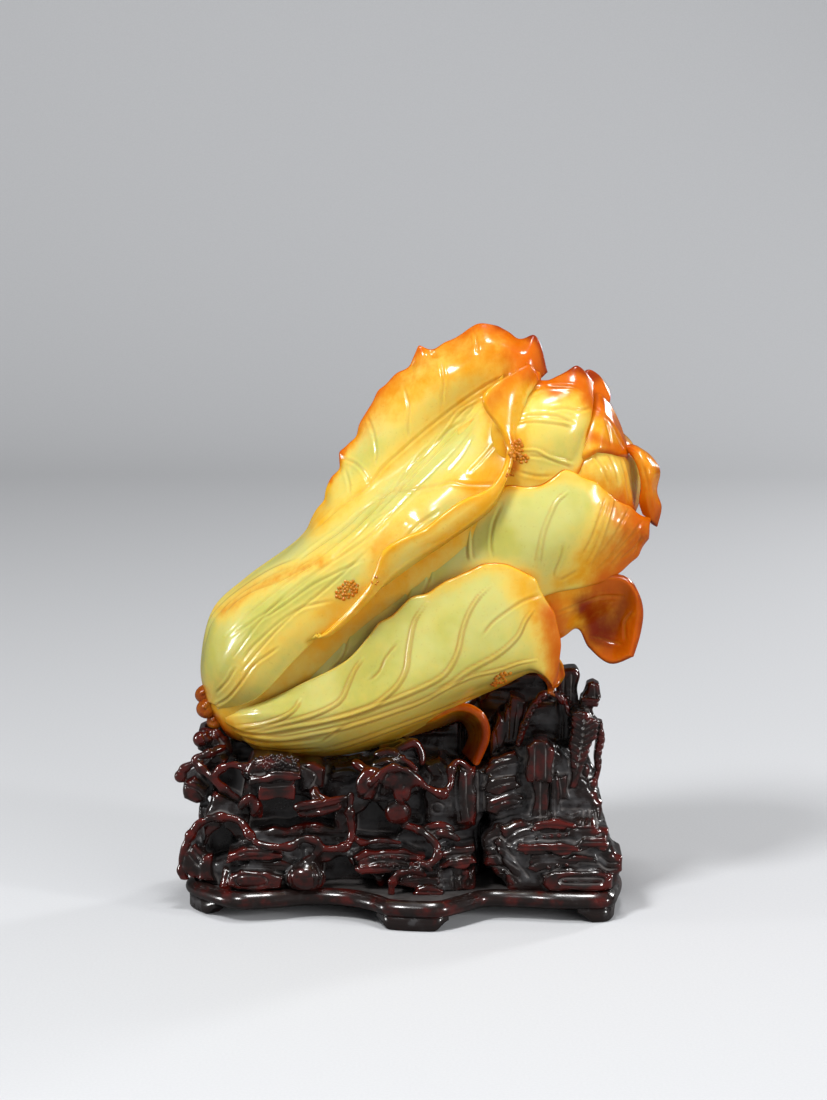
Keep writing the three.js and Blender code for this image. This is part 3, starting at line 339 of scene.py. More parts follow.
# %% Rails of the leaves
leaf_rails_pixels = {
    "front_top_leaf": [
        [204,702,-2, 199,664,0, 211,610,0, 246,576,0, 300,536,0, 318,503,4, 342,452,6, 378,394,4, 419,351,0,
         452,340,-2, 478,325,-4, 503,331,-4, 522,340,-6, 538,343,-8, 547,374,-16],
        [206,705,-10, 205,668,-32, 218,622,-38, 252,588,-46, 303,546,-44, 328,515,-30, 358,476,-24,
         398,426,-26, 436,388,-28, 460,372,-28, 482,355,-28, 502,353,-26, 517,356,-26, 530,360,-26,
         540,382,-22],
        [208,707,-18, 216,674,-52, 232,637,-66, 265,603,-76, 310,558,-74, 345,528,-62, 378,498,-48,
         418,460,-38, 455,426,-34, 478,405,-34, 492,394,-32, 504,386,-30, 513,379,-36, 524,376,-32,
         534,386,-24],
        [210,708,-22, 226,680,-60, 245,650,-78, 277,616,-88, 320,570,-92, 354,538,-88, 387,507,-80,
         427,470,-70, 464,436,-62, 484,412,-58, 497,401,-54, 508,392,-50, 514,386,-46, 521,384,-38,
         530,388,-26],
        [213,709,-26, 238,690,-66, 258,668,-84, 290,636,-94, 334,595,-102, 362,565,-106, 395,535,-104,
         436,500,-98, 474,464,-90, 488,445,-84, 497,430,-76, 503,418,-68, 508,398,-60, 514,390,-50,
         526,386,-30],
        [216,710,-28, 249,700,-62, 270,684,-80, 304,648,-92, 347,613,-104, 374,588,-114, 402,563,-118,
         444,537,-116, 480,512,-110, 499,484,-104, 506,460,-96, 507,438,-88, 509,415,-84, 513,396,-78,
         527,372,-60],
        [217,710,-26, 250,701,-56, 271,685,-74, 305,649,-88, 346,611,-110, 371,581,-124, 385,548,-128,
         422,528,-126, 458,502,-120, 488,488,-110, 502,460,-100, 498,438,-96, 480,410,-96, 486,393,-90,
         522,370,-64],
    ],
    "front_middle_leaf": [
        [222,712,-14, 262,668,-44, 330,600,-66, 400,545,-80, 455,510,-88, 500,488,-96, 535,487,-96,
         566,473,-90, 603,492,-78, 635,513,-58, 650,518,-46],
        [224,715,-16, 275,685,-50, 345,628,-76, 415,580,-90, 470,550,-98, 512,525,-104, 548,515,-102,
         580,507,-94, 610,512,-80, 638,522,-60, 651,524,-46],
        [226,717,-16, 288,698,-54, 360,655,-82, 430,615,-96, 487,587,-102, 527,562,-102, 562,548,-98,
         593,538,-88, 620,534,-74, 641,532,-56, 650,530,-44],
        [228,720,-14, 300,712,-50, 375,685,-74, 447,650,-84, 505,622,-84, 545,598,-80, 580,590,-72,
         606,583,-60, 624,571,-48, 640,551,-40, 648,535,-38],
    ],
    "front_lower_leaf": [
        [216,714,-24, 257,702,-58, 300,682,-72, 346,658,-88, 376,626,-98, 410,598,-104, 448,579,-108,
         485,563,-110, 522,572,-106, 545,600,-96, 559,637,-88, 558,672,-80, 553,691,-78],
        [217,715,-26, 262,708,-66, 310,694,-84, 355,677,-100, 390,655,-110, 425,632,-116, 460,616,-118,
         492,608,-116, 518,612,-110, 536,630,-102, 548,655,-92, 553,676,-84, 553,691,-78],
        [218,717,-28, 266,717,-70, 318,715,-92, 365,706,-108, 404,694,-116, 438,682,-118, 470,672,-116,
         497,665,-112, 515,661,-108, 528,661,-102, 540,669,-94, 549,681,-86, 552,691,-78],
        [219,720,-26, 262,738,-56, 316,742,-72, 366,733,-86, 408,718,-90, 442,703,-88, 474,689,-86,
         500,679,-86, 517,672,-88, 529,669,-90, 540,674,-86, 548,684,-82, 551,691,-77],
        [221,723,-18, 262,756,-10, 316,759,-14, 366,753,-18, 410,735,-24, 446,714,-34, 478,697,-44,
         503,686,-56, 519,677,-70, 530,673,-80, 540,677,-82, 547,686,-79, 550,691,-76],
    ],
    "drooping_leaf": [
        [500,600,-60, 540,591,-76, 570,583,-72, 600,577,-66, 622,579,-58, 636,594,-52],
        [500,625,-56, 545,612,-72, 578,604,-60, 603,602,-46, 621,606,-38, 638,612,-48],
        [505,645,-46, 552,630,-60, 578,622,-42, 596,625,-30, 615,630,-32, 636,632,-46],
        [510,655,-30, 558,640,-44, 576,630,-32, 588,648,-30, 608,663,-38, 630,656,-48],
    ],
    "under_curl": [
        [400,722,-20, 430,712,-46, 452,702,-56, 472,703,-60, 487,716,-60, 490,738,-56, 479,766,-50],
        [400,728,-5, 432,718,-12, 454,709,-17, 470,711,-20, 481,722,-20, 483,738,-16, 474,763,-12],
        [400,734,10, 434,724,22, 456,716,22, 467,719,22, 474,729,20, 476,742,20, 468,760,16],
    ],
    "head_top_leaf": [
        [455,430,-50, 505,398,-56, 530,384,-54, 553,378,-50, 576,370,-46, 592,384,-40],
        [455,460,-70, 508,425,-84, 535,412,-82, 560,405,-76, 580,400,-66, 594,400,-50],
        [455,490,-80, 510,455,-96, 537,443,-96, 562,435,-88, 580,428,-76, 592,412,-58],
        [460,520,-84, 512,488,-94, 535,482,-94, 555,474,-90, 570,462,-82, 586,432,-68],
        [470,545,-80, 520,515,-86, 540,505,-86, 560,495,-84, 575,480,-78, 586,450,-70],
    ],
    "head_back_lobe": [
        [555,420,-20, 570,390,-18, 585,371,-12, 598,376,-6],
        [570,430,-30, 585,400,-28, 598,386,-18, 605,384,-8],
        [590,440,-36, 603,415,-30, 609,402,-20, 609,392,-8],
    ],
    "head_upper_side_leaf": [
        [560,420,-30, 590,395,-36, 605,402,-34, 617,422,-30, 626,448,-26],
        [560,440,-60, 592,420,-62, 606,424,-56, 617,440,-46, 627,454,-34],
        [562,470,-76, 590,455,-78, 604,455,-70, 617,457,-58, 627,459,-40],
    ],
    "head_lower_side_leaf": [
        [560,440,-50, 592,440,-60, 612,448,-52, 626,460,-38, 632,480,-28],
        [565,480,-76, 595,470,-76, 615,475,-64, 626,488,-48, 632,500,-34],
        [580,520,-72, 605,505,-68, 620,508,-58, 632,512,-44, 636,516,-36],
    ],
    "right_ear_leaf": [
        [616,446,-34, 626,456,-46, 632,470,-52, 635,486,-52, 634,504,-48, 638,516,-42],
        [626,444,-36, 638,454,-50, 645,470,-58, 646,488,-58, 647,506,-54, 649,524,-44],
        [634,446,-28, 649,457,-34, 658,472,-38, 655,492,-38, 660,508,-38, 656,528,-36],
    ],
    "rear_upper_leaf": [
        [210,700,4, 213,640,8, 278,560,14, 345,495,22, 420,440,32, 500,398,38, 560,398,34, 600,418,26,
         617,440,16],
        [212,706,12, 235,670,44, 310,610,76, 380,550,92, 450,500,100, 520,465,96, 575,450,84, 610,450,62,
         627,455,36],
        [216,712,14, 250,705,48, 330,660,78, 400,615,94, 470,570,100, 535,530,96, 585,500,84, 618,480,60,
         632,470,36],
        [217,714,14, 255,720,40, 340,690,66, 415,650,80, 485,610,84, 545,570,80, 592,535,68, 622,505,50,
         634,485,34],
    ],
    "rear_lower_leaf": [
        [214,710,10, 255,688,52, 330,638,86, 400,596,102, 460,560,110, 520,540,108, 570,542,96, 600,560,74],
        [217,714,14, 262,712,52, 335,680,90, 400,645,108, 458,615,112, 510,600,106, 552,600,90, 578,612,66],
        [219,717,12, 268,735,40, 340,720,72, 402,690,86, 455,662,88, 500,645,82, 538,640,68, 558,642,50],
        [222,722,4, 270,757,6, 338,760,10, 402,738,16, 450,705,24, 495,682,30, 528,668,32, 545,660,30],
    ],
}

# Flesh behind each rail, and the spacing of the fine grid on the leaf's face, in millimetres.
leaf_flesh_millimetres = {
    "front_top_leaf": [2.4, 4, 8, 9, 8, 3.4, 2.2],
    "front_middle_leaf": [2.6, 8, 9, 6],
    "front_lower_leaf": [2.6, 8, 10, 9, 4],
    "drooping_leaf": [3, 4, 4, 3],
    "under_curl": [3.4, 3.6, 3.4],
    "head_top_leaf": [3, 8, 9, 8, 4],
    "head_back_lobe": [2.4, 4, 2.4],
    "head_upper_side_leaf": [2.6, 6, 4],
    "head_lower_side_leaf": [3, 6, 5],
    "right_ear_leaf": [4, 4, 2.4],
    "rear_upper_leaf": [3, 8, 9, 4],
    "rear_lower_leaf": [3, 8, 9, 4],
}
leaf_grid_millimetres = {"front_top_leaf": 0.42, "front_middle_leaf": 0.42, "front_lower_leaf": 0.38,
                         "rear_upper_leaf": 0.75, "rear_lower_leaf": 0.75}
small_leaf_grid = 0.5
turned_leaves = ["rear_upper_leaf", "rear_lower_leaf", "under_curl", "right_ear_leaf"]
# Notches and lobes of the rims, in pixels: where, the push across and down, and its reach.
rim_nudges_pixels = {
    "front_top_leaf": [
        [406, 366, 4, 4, 9], [419, 349, -2, -4, 6], [433, 349, 1, 7, 9], [339, 451, -4, -1, 6],
        [335, 468, 4, 1, 7], [376, 392, -1, -3, 8], [497, 328, 1, -1, 7], [516, 338, 0, 2, 6],
        [530, 340, 1, -4, 7], [352, 434, 3, 2, 8], [322, 500, 3, 1, 8], [312, 520, -1, 0, 7],
        [374, 574, -2, 2, 8], [403, 527, 1, -3, 8], [420, 519, 0, 3, 8],
    ],
    "front_middle_leaf": [
        [560, 474, 0, -2, 8], [578, 478, 0, 1, 6], [592, 486, 0, -2, 7], [612, 498, 0, 2, 7],
        [628, 508, 0, -2, 7], [520, 489, 0, 1, 8], [642, 534, 2, 2, 7], [634, 556, 2, 1, 7],
    ],
    "front_lower_leaf": [
        [409, 596, 0, -2, 8], [425, 585, 0, 3, 9], [447, 581, 0, -1, 8], [468, 566, 0, 1, 8],
        [380, 624, -1, -2, 8], [395, 612, 0, 2, 8], [504, 567, 0, -1, 8], [532, 580, 2, -2, 8],
        [551, 612, 2, 0, 8], [556, 655, -1, 0, 8],
    ],
    "head_top_leaf": [
        [545, 380, 0, 2, 7], [572, 369, 0, -2, 7],
    ],
}
print("leaves:", len(leaf_rails_pixels))

# %% [markdown]
# The curve through the rails is a Catmull-Rom curve: it passes through each given point, and its slope
# there follows the two neighbours. It turns a coarse table into a fine grid.

# %% Smooth curves through rows of numbers
def bell(distance, width):
    return np.exp(-(distance / width) ** 2)


def smooth_rows(rows, places):
    """Rows of numbers read at fractional row numbers, on a Catmull-Rom curve."""
    rows = np.asarray(rows, float)
    places = np.asarray(places, float)
    last = len(rows) - 1
    longer = np.concatenate([2 * rows[:1] - rows[1:2], rows, 2 * rows[-1:] - rows[-2:-1]])
    row = np.clip(places.astype(int), 0, last - 1)
    part = (places - row).reshape(-1, *[1] * (rows.ndim - 1))
    before, here, after, beyond = (longer[row + step] for step in range(4))
    bend = 2 * before - 5 * here + 4 * after - beyond
    twist = 3 * here - before - 3 * after + beyond
    return here + 0.5 * part * (after - before + part * (bend + part * twist))


def run_along(points):
    """Distance from the first point of a line to each of its points."""
    return np.concatenate([[0], np.cumsum(np.linalg.norm(np.diff(points, axis=0), axis=1))])


def even_places(rows, spacing):
    """Fractional row numbers at about equal distances, closer together near both ends."""
    fine = np.linspace(0, len(rows) - 1, 40 * (len(rows) - 1) + 1)
    curve = smooth_rows(rows, fine)
    steps = np.linalg.norm(np.diff(curve, axis=0), axis=-1)
    while steps.ndim > 1:
        steps = steps.mean(-1)
    run = np.concatenate([[0], np.cumsum(steps)])
    near_rim = np.array([0, 0.07, 0.22, 0.48, 0.8, 1.2]) * millimetre
    count = max(int((run[-1] - 2 * near_rim[-1]) / spacing), 4)
    middle = np.linspace(near_rim[-1], run[-1] - near_rim[-1], count + 1)
    stops = np.concatenate([near_rim[:-1], middle, run[-1] - near_rim[:-1][::-1]])
    return np.interp(stops, run, fine)

# %% The face of a leaf as a fine grid
def leaf_face(name):
    """A fine grid on the outer face, its flesh, the unit normals into it, and its picture points."""
    rails = np.array([points_of(rail, 3) for rail in leaf_rails_pixels[name]], float)
    spacing = leaf_grid_millimetres.get(name, small_leaf_grid) * millimetre
    along = even_places(placed(rails).transpose(1, 0, 2), spacing)
    lengthwise = smooth_rows(rails.transpose(1, 0, 2), along)
    across = even_places(placed(lengthwise).transpose(1, 0, 2), spacing)
    picture = smooth_rows(lengthwise.transpose(1, 0, 2), across).transpose(1, 0, 2)
    for spot_across, spot_down, push_across, push_down, reach in rim_nudges_pixels.get(name, []):
        nearness = bell(np.hypot(picture[..., 0] - spot_across, picture[..., 1] - spot_down), reach)
        picture[..., :2] += nearness[..., None] * [push_across, push_down]
    face = placed(picture)
    flesh = smooth_rows(leaf_flesh_millimetres[name], across) * millimetre
    inward = np.cross(np.gradient(face, axis=0), np.gradient(face, axis=1))
    inward /= np.maximum(np.linalg.norm(inward, axis=-1, keepdims=True), 1e-12)
    if name in turned_leaves:
        inward = -inward
    return face, np.broadcast_to(flesh, face.shape[:2]), inward, picture


def run_from_edges(face):
    """Distances over the face to its first rail, last rail, root and tip."""
    across = np.linalg.norm(np.diff(face, axis=1), axis=-1)
    along = np.linalg.norm(np.diff(face, axis=0), axis=-1)
    zero_column, zero_row = np.zeros((face.shape[0], 1)), np.zeros((1, face.shape[1]))
    from_first = np.concatenate([zero_column, np.cumsum(across, 1)], 1)
    from_root = np.concatenate([zero_row, np.cumsum(along, 0)], 0)
    return from_first, from_first[:, -1:] - from_first, from_root, from_root[-1:] - from_root

# %% [markdown]
# The rim of a leaf is rounded, as polished stone is: both faces draw toward the middle of the flesh on a
# quarter circle, until they meet. The hidden inner face keeps only some of the grid lines, and a strip of
# triangles joins it to the fine rim without a gap.

# %% Closing a leaf
def zipped(first, first_places, second, second_places):
    """Triangles of a strip between two lines of points, in step with their places."""
    i = j = 0
    made = []
    while i < len(first) - 1 or j < len(second) - 1:
        done = j == len(second) - 1
        if done or (i < len(first) - 1 and first_places[i + 1] <= second_places[j + 1]):
            made.append([first[i], first[i + 1], second[j]])
            i += 1
        else:
            made.append([first[i], second[j + 1], second[j]])
            j += 1
    return made


def kept_lines(count, step=5, near_rim=6):
    middle = np.arange(near_rim, count - near_rim, step)
    return np.unique(np.concatenate([np.arange(1, near_rim), middle, np.arange(count - near_rim, count - 1)]))


inside_out = [0, 3, 2, 1]


def closed_leaf(face, flesh, inward, edges):
    """A closed mesh of a leaf with rounded rims."""
    from_rim = np.minimum.reduce(edges)
    radius = flesh / 2
    share = np.clip(from_rim / radius, 0, 1)
    lift = (radius * (1 - np.sqrt(np.clip(1 - (1 - share) ** 2, 0, 1))))[..., None]
    outer = face + inward * lift
    inner = face + inward * (flesh[..., None] - lift)
    rows, columns = face.shape[:2]
    at = np.arange(rows * columns).reshape(rows, columns)
    row_lines, column_lines = kept_lines(rows), kept_lines(columns)
    hidden = inner[np.ix_(row_lines, column_lines)]
    back = rows * columns + np.arange(hidden.shape[0] * hidden.shape[1]).reshape(hidden.shape[:2])
    strips = []
    all_rows, all_columns = np.arange(rows), np.arange(columns)
    strips += zipped(at[0], all_columns, back[0], column_lines)
    strips += zipped(at[-1][::-1], -all_columns[::-1], back[-1][::-1], -column_lines[::-1])
    strips += zipped(at[::-1, 0], -all_rows[::-1], back[::-1, 0], -row_lines[::-1])
    strips += zipped(at[:, -1], all_rows, back[:, -1], row_lines)
    strips = np.array(strips)[:, ::-1]
    points = np.concatenate([outer.reshape(-1, 3), hidden.reshape(-1, 3)])
    return points, [grid_faces(at), grid_faces(back)[:, inside_out], strips], (row_lines, column_lines)

# %% [markdown]
# ## Veins
# Carved veins are shallow: a thin raised cord between two grooves for the main ones, a single cut for the
# fine ones. Brown skin of the stone was left in the grooves. They are drawn as lines in the picture, and
# each point of a face measures its distance to them. That moves the point by a fraction of a millimetre,
# and is kept as a number that the jade's colour reads.

# %% Lines of the veins
cord_veins_pixels = {
    "front_lower_leaf": [
        [302,697, 295,708, 283,716, 264,723, 237,728],
        [364,656, 356,667, 350,680, 344,694, 335,703, 314,713, 280,723, 237,732],
        [427,601, 416,616, 411,633, 408,652, 406,667, 398,682, 388,692, 375,702, 352,711, 325,719, 287,726,
         240,735],
        [490,583, 476,597, 467,612, 461,629, 457,648, 451,662, 442,673, 427,682, 400,694, 371,705, 348,713,
         323,719], [531,608, 523,618, 516,633, 506,644, 493,654, 480,661, 463,671, 448,683, 430,692],
        [534,658, 516,661, 496,668, 473,673, 450,683, 425,697, 400,707, 352,723, 314,732, 276,738, 234,732],
        [480,694, 448,707, 390,728, 352,742, 325,751],
    ],
    "front_top_leaf": [
        [482,400, 459,413, 444,433, 429,451, 406,477, 393,494, 371,509, 350,529, 325,547, 307,559],
        [203,644, 209,623, 222,606, 243,589, 272,571, 299,560],
    ],
    "front_middle_leaf": [
        [476,517, 469,531, 468,548, 469,560], [564,493, 553,503, 545,519, 539,536, 536,553, 534,565],
        [610,496, 605,515, 598,536, 591,553, 583,567],
    ],
    "head_top_leaf": [
        [512,427, 526,424, 539,424, 557,426, 567,428], [517,453, 533,453, 546,460, 560,464, 569,467],
    ],
    "head_lower_side_leaf": [
        [619,460, 624,477, 627,491, 629,505],
    ],
}
fine_veins_pixels = {
    "front_lower_leaf": [
        [352,721, 341,726, 333,732, 322,740], [221,727, 240,737, 262,742, 290,741, 330,735],
        [221,728, 238,741, 258,748, 285,750, 320,748], [222,724, 245,733, 275,733, 310,726, 345,716],
        [540,593, 520,600, 500,613, 489,622, 480,634], [398,640, 386,655, 380,668, 370,678],
    ],
    "front_top_leaf": [
        [507,378, 494,383, 474,395, 449,413, 426,431, 403,451, 383,469, 370,486, 350,501, 333,514, 317,529],
        [476,416, 449,431, 438,441, 419,459, 398,486, 390,494],
        [390,494, 378,501, 363,511, 341,530, 320,545, 300,560], [396,507, 376,519, 358,537, 341,552, 333,560],
        [226,612, 237,600, 256,589, 279,581, 302,570, 322,562], [234,635, 260,617, 287,598, 314,577, 333,564],
        [257,623, 287,604, 314,585, 343,570, 364,560], [245,659, 253,648, 266,635, 287,617, 306,606, 333,600],
        [213,707, 228,698, 241,684, 257,663, 272,652, 280,646], [218,692, 230,679, 237,667],
        [441,365, 443,381, 442,396, 441,409], [404,388, 409,409, 408,426, 408,439],
        [366,414, 371,426, 375,439, 377,456, 376,464], [343,459, 355,464, 365,474, 370,486],
        [346,471, 350,486, 350,494], [474,335, 476,346, 476,356],
        [383,494, 406,492, 423,489, 438,486, 449,483, 466,486, 496,486], [404,540, 420,524, 438,512],
        [472,440, 460,459, 447,474], [492,448, 480,462, 468,474],
        [236,655, 270,611, 310,577, 366,540, 409,497, 455,451, 480,418],
        [229,634, 264,601, 307,568, 353,531, 391,493, 428,454, 471,411], [366,527, 409,481, 450,438, 478,402],
        [243,670, 286,622, 330,586, 372,548],
    ],
    "front_middle_leaf": [
        [412,560, 412,571, 410,585, 406,602], [560,544, 557,557, 552,569, 550,577],
        [624,531, 615,544, 605,558, 593,570], [619,551, 612,560, 608,565],
        [626,508, 616,526, 604,544, 592,560], [638,522, 627,537, 612,552, 600,564],
        [642,536, 630,549, 616,560], [601,500, 594,520, 586,540, 577,556], [557,580, 574,570],
        [638,534, 632,555], [346,621, 348,636, 343,656, 331,669], [500,505, 492,522, 489,540, 490,556],
        [436,540, 430,560, 428,580, 420,600],
    ],
    "head_top_leaf": [
        [510,406, 519,402, 529,395, 539,390], [519,419, 533,419, 546,419, 557,421, 569,427],
        [546,414, 560,412, 574,414, 586,412], [543,390, 553,390, 569,391, 581,396],
        [524,458, 539,460, 553,464], [516,474, 532,478, 548,478],
    ],
    "head_upper_side_leaf": [
        [589,410, 605,424, 615,439, 622,453], [601,422, 605,436, 607,448],
    ],
    "head_lower_side_leaf": [
        [589,457, 598,470, 605,486], [604,456, 611,470, 615,488],
    ],
    "drooping_leaf": [
        [556,612, 578,603, 600,596, 622,596], [632,610, 624,623, 624,640], [590,636, 606,640, 622,644],
    ],
    "right_ear_leaf": [
        [638,465, 643,482, 646,500, 648,512],
    ],
}
# How brown the veins of the leaves are, and of some in particular.
usual_vein_brown = 0.6
vein_brown = {"front_lower_leaf": 1.0, "front_middle_leaf": 0.7, "front_top_leaf": 0.42}
# Side veins of a rear leaf: where they leave its middle rail, as shares of its length.
rear_vein_starts = [0.22, 0.33, 0.44, 0.54, 0.64, 0.73, 0.82, 0.9]
print("drawn veins:", sum(map(len, cord_veins_pixels.values())) + sum(map(len, fine_veins_pixels.values())))

# %% Distance of the face to a drawn line
def line_distance(picture, line, reach=9.0):
    """Pixels from picture points to a smoothed line, and the share of its length at the nearest place."""
    line = points_of(line)
    places = np.linspace(0, len(line) - 1, 5 * (len(line) - 1) + 1)
    course = smooth_rows(line, places)
    points = picture[..., :2].reshape(-1, 2)
    distance, share = np.full(len(points), 99.0), np.zeros(len(points))
    low, high = course.min(0) - reach, course.max(0) + reach
    near = np.flatnonzero(((points > low) & (points < high)).all(1))
    starts, runs = course[:-1], np.diff(course, axis=0)
    for block in np.array_split(near, max(len(near) // 20000, 1)):
        offsets = points[block, None] - starts
        along = np.clip((offsets * runs).sum(-1) / np.maximum((runs ** 2).sum(-1), 1e-9), 0, 1)
        away = np.linalg.norm(offsets - along[..., None] * runs, axis=-1)
        nearest = away.argmin(1)
        distance[block] = away[np.arange(len(block)), nearest]
        share[block] = (nearest + along[np.arange(len(block)), nearest]) / len(runs)
    return distance.reshape(picture.shape[:-1]), share.reshape(picture.shape[:-1])


# Widths of veins in pixels, and their heights and depths in millimetres.
cord_width, cord_taper, cord_height, cord_groove = 0.8, 0.45, 0.45, 0.24
cut_width, cut_depth, lip_place, lip_width, lip_height = 1.3, 0.34, 2.8, 1.4, 0.16


def vein_relief(name, picture, facing):
    """Millimetres that the veins raise the face, and how brown each point is."""
    raised, brown = np.zeros(picture.shape[:-1]), np.zeros(picture.shape[:-1])
    for line in cord_veins_pixels.get(name, []):
        distance, share = line_distance(picture, line)
        width = cord_width + cord_taper * share
        groove = bell(distance - 2.5 * width, 1.0 * width)
        fading = np.clip(8 * np.minimum(share + 0.03, 1.02 - share), 0, 1)
        raised += fading * (cord_height * bell(distance, 1.6 * width) - cord_groove * groove)
        brown = np.maximum(brown, fading * np.maximum(0.85 * groove, 0.5 * bell(distance, 5 * width)))
    for line in fine_veins_pixels.get(name, []):
        distance, share = line_distance(picture, line)
        fading = np.clip(6 * np.minimum(share + 0.04, 1.04 - share), 0, 1)
        cut = bell(distance, cut_width) * fading
        raised += lip_height * bell(distance - lip_place, lip_width) * fading - cut_depth * cut
        brown = np.maximum(brown, np.maximum(0.85 * cut, 0.35 * bell(distance, 2.6) * fading))
    seen_share = np.clip(facing * 4, 0, 1)
    return raised * seen_share, brown * seen_share * vein_brown.get(name, usual_vein_brown)


rear_half_width, rear_length, rear_lean = 45, 190, 0.16
midrib_height, side_vein_height, side_groove = 0.6, 0.2, 0.22


def rear_vein_relief(face):
    """Relief of a rear leaf: a raised midrib, and side veins that lean toward the tip."""
    rows, columns = face.shape[:2]
    along = np.linspace(0, 1, rows)[:, None]
    across = np.linspace(-1, 1, columns)[None]
    aside = np.abs(across) * rear_half_width
    midrib_width = 1 + 3.5 * (1 - along)
    raised = midrib_height * bell(aside, midrib_width)
    brown = 0.6 * bell(aside - 2.2 * midrib_width, 1.2)
    for start in rear_vein_starts:
        leaning = (along - start - rear_lean * np.abs(across) ** 1.3) * rear_length
        fading = np.clip(1.15 - np.abs(across), 0, 1) * np.clip(aside / 6, 0, 1)
        groove = (bell(leaning - 1.6, 1.0) + bell(leaning + 1.6, 1.0)) * fading
        raised += (side_vein_height * bell(leaning, 1.2) * fading) - side_groove * groove
        brown = np.maximum(brown, 0.8 * groove)
    return raised, np.clip(brown, 0, 1)

# %% [markdown]
# ## Stains of the skin
# The stone is green inside, and its weathered skin is gold, orange and russet. The carver kept the skin
# where leaves end, so rims, tips and curls are warm. Three numbers say how gold, orange and russet each
# point is: a level that rises toward the chosen rims of each leaf, and strokes laid like a brush.
# A few russet strokes on the fold of the drooping leaf also paint the shade of its hollow, and the heart's
# gold is partly painted fill light in its shaded crevices.

# %% Warmth of rims and brush strokes
# Levels of gold, orange and russet all over a leaf, then how far in from its rims and from its tip gold
# and orange reach, in millimetres.
leaf_warmth = {
    "front_top_leaf": [0.2, 0.0, 0.0, 6, 1.6, 12, 6],
    "front_middle_leaf": [0.14, 0.0, 0.0, 2.5, 0.8, 24, 14],
    "front_lower_leaf": [0.2, 0.0, 0.0, 1.8, 0.6, 12, 8],
    "drooping_leaf": [1.0, 0.4, 0.0, 6, 3, 20, 12],
    "under_curl": [1.0, 0.5, 0.05, 5, 3, 16, 10],
    "head_top_leaf": [0.42, 0.06, 0.0, 9, 5, 12, 7],
    "head_back_lobe": [0.9, 0.6, 0.1, 4, 3, 10, 6],
    "head_upper_side_leaf": [1.0, 0.3, 0.05, 5, 3, 10, 6],
    "head_lower_side_leaf": [0.75, 0.2, 0.0, 5, 2, 10, 5],
    "right_ear_leaf": [1.0, 0.6, 0.05, 4, 3, 12, 8],
    "rear_upper_leaf": [0.1, 0.0, 0.0, 8, 3, 30, 16],
    "rear_lower_leaf": [0.12, 0.0, 0.0, 8, 3, 32, 18],
    # The heart's gold is partly the stone's golden tone and partly painted fill light that lifts its shaded
    # crevices.
    "heart": [0.75, 0.0, 0.0, 0, 0, 0, 0],
    "root": [1.0, 0.1, 0.84, 0, 0, 0, 0],
}
# Brush strokes: width in pixels, strength, and the points of the line.
gold_strokes_pixels = [
    [12, 0.9, 316,516, 344,448, 380,392, 420,352, 478,328, 545,362], [20, 0.8, 450,345, 490,338, 535,352],
    [13, 0.7, 507,380, 450,414, 400,456, 352,500, 316,530], [20, 1.0, 497,396, 497,430, 497,466, 470,486],
    [12, 0.6, 450,484, 400,520, 378,552], [30, 0.9, 396,402, 440,374, 496,360],
    [12, 0.5, 424,530, 392,545, 380,570], [11, 0.7, 222,612, 256,589, 322,560],
    [14, 0.5, 330,560, 372,540, 380,575, 330,610], [14, 0.5, 350,600, 372,590, 380,604],
    [14, 0.8, 202,690, 208,712, 224,730], [20, 0.9, 520,585, 550,640, 555,690],
    [9, 0.8, 240,750, 320,757, 400,735, 470,700, 520,678, 552,690], [8, 0.6, 430,592, 485,566, 530,578],
    [34, 0.9, 640,520, 630,548, 600,572], [16, 0.7, 604,500, 596,530, 580,560],
    [30, 0.6, 360,735, 440,715, 520,690], [13, 1.0, 524,380, 508,396, 500,418, 504,446],
    [9, 1.0, 515,372, 506,388, 500,410], [11, 1.0, 503,480, 478,510, 440,540, 404,572, 368,606, 320,640],
    [12, 0.9, 556,582, 590,574, 620,570], [9, 0.7, 506,488, 560,478, 600,492],
    [26, 0.9, 530,382, 565,388, 592,400], [20, 0.8, 512,440, 508,470], [16, 0.6, 236,690, 270,650, 330,604],
    [15, 0.8, 226,720, 258,742, 300,754],
]
orange_strokes_pixels = [
    [4.5, 0.8, 330,480, 344,448, 380,390, 420,350], [9, 0.95, 452,336, 480,325, 505,334, 530,340, 546,364],
    [28, 0.5, 345,430, 385,383, 432,354, 484,348, 530,355], [16, 0.9, 520,350, 540,360],
    [5, 0.4, 522,374, 504,388, 486,404, 488,424], [12, 0.9, 552,392, 572,384, 596,396],
    [14, 0.5, 516,370, 502,386, 494,402], [7, 0.28, 383,495, 423,490, 466,487, 498,486],
    [8, 0.42, 226,610, 256,588, 322,561], [6, 0.25, 376,548, 392,528, 430,520],
    [8, 0.9, 199,690, 204,708, 216,726, 230,742], [16, 0.85, 548,612, 556,650, 556,694],
    [5, 0.8, 470,708, 520,680, 552,690], [4, 0.6, 280,756, 360,756, 420,736],
    [18, 0.85, 650,520, 640,545, 630,566], [30, 0.5, 632,520, 614,552],
    [14, 1.0, 530,378, 560,372, 592,382, 600,400], [22, 0.95, 606,584, 632,590, 636,618, 612,652],
    [9, 0.8, 585,400, 612,426, 625,448], [6, 0.8, 590,440, 624,456], [20, 0.6, 618,508, 642,526],
    [7, 0.8, 508,444, 510,470], [8, 0.3, 346,592, 362,588], [9, 0.35, 224,724, 250,744, 290,756],
]
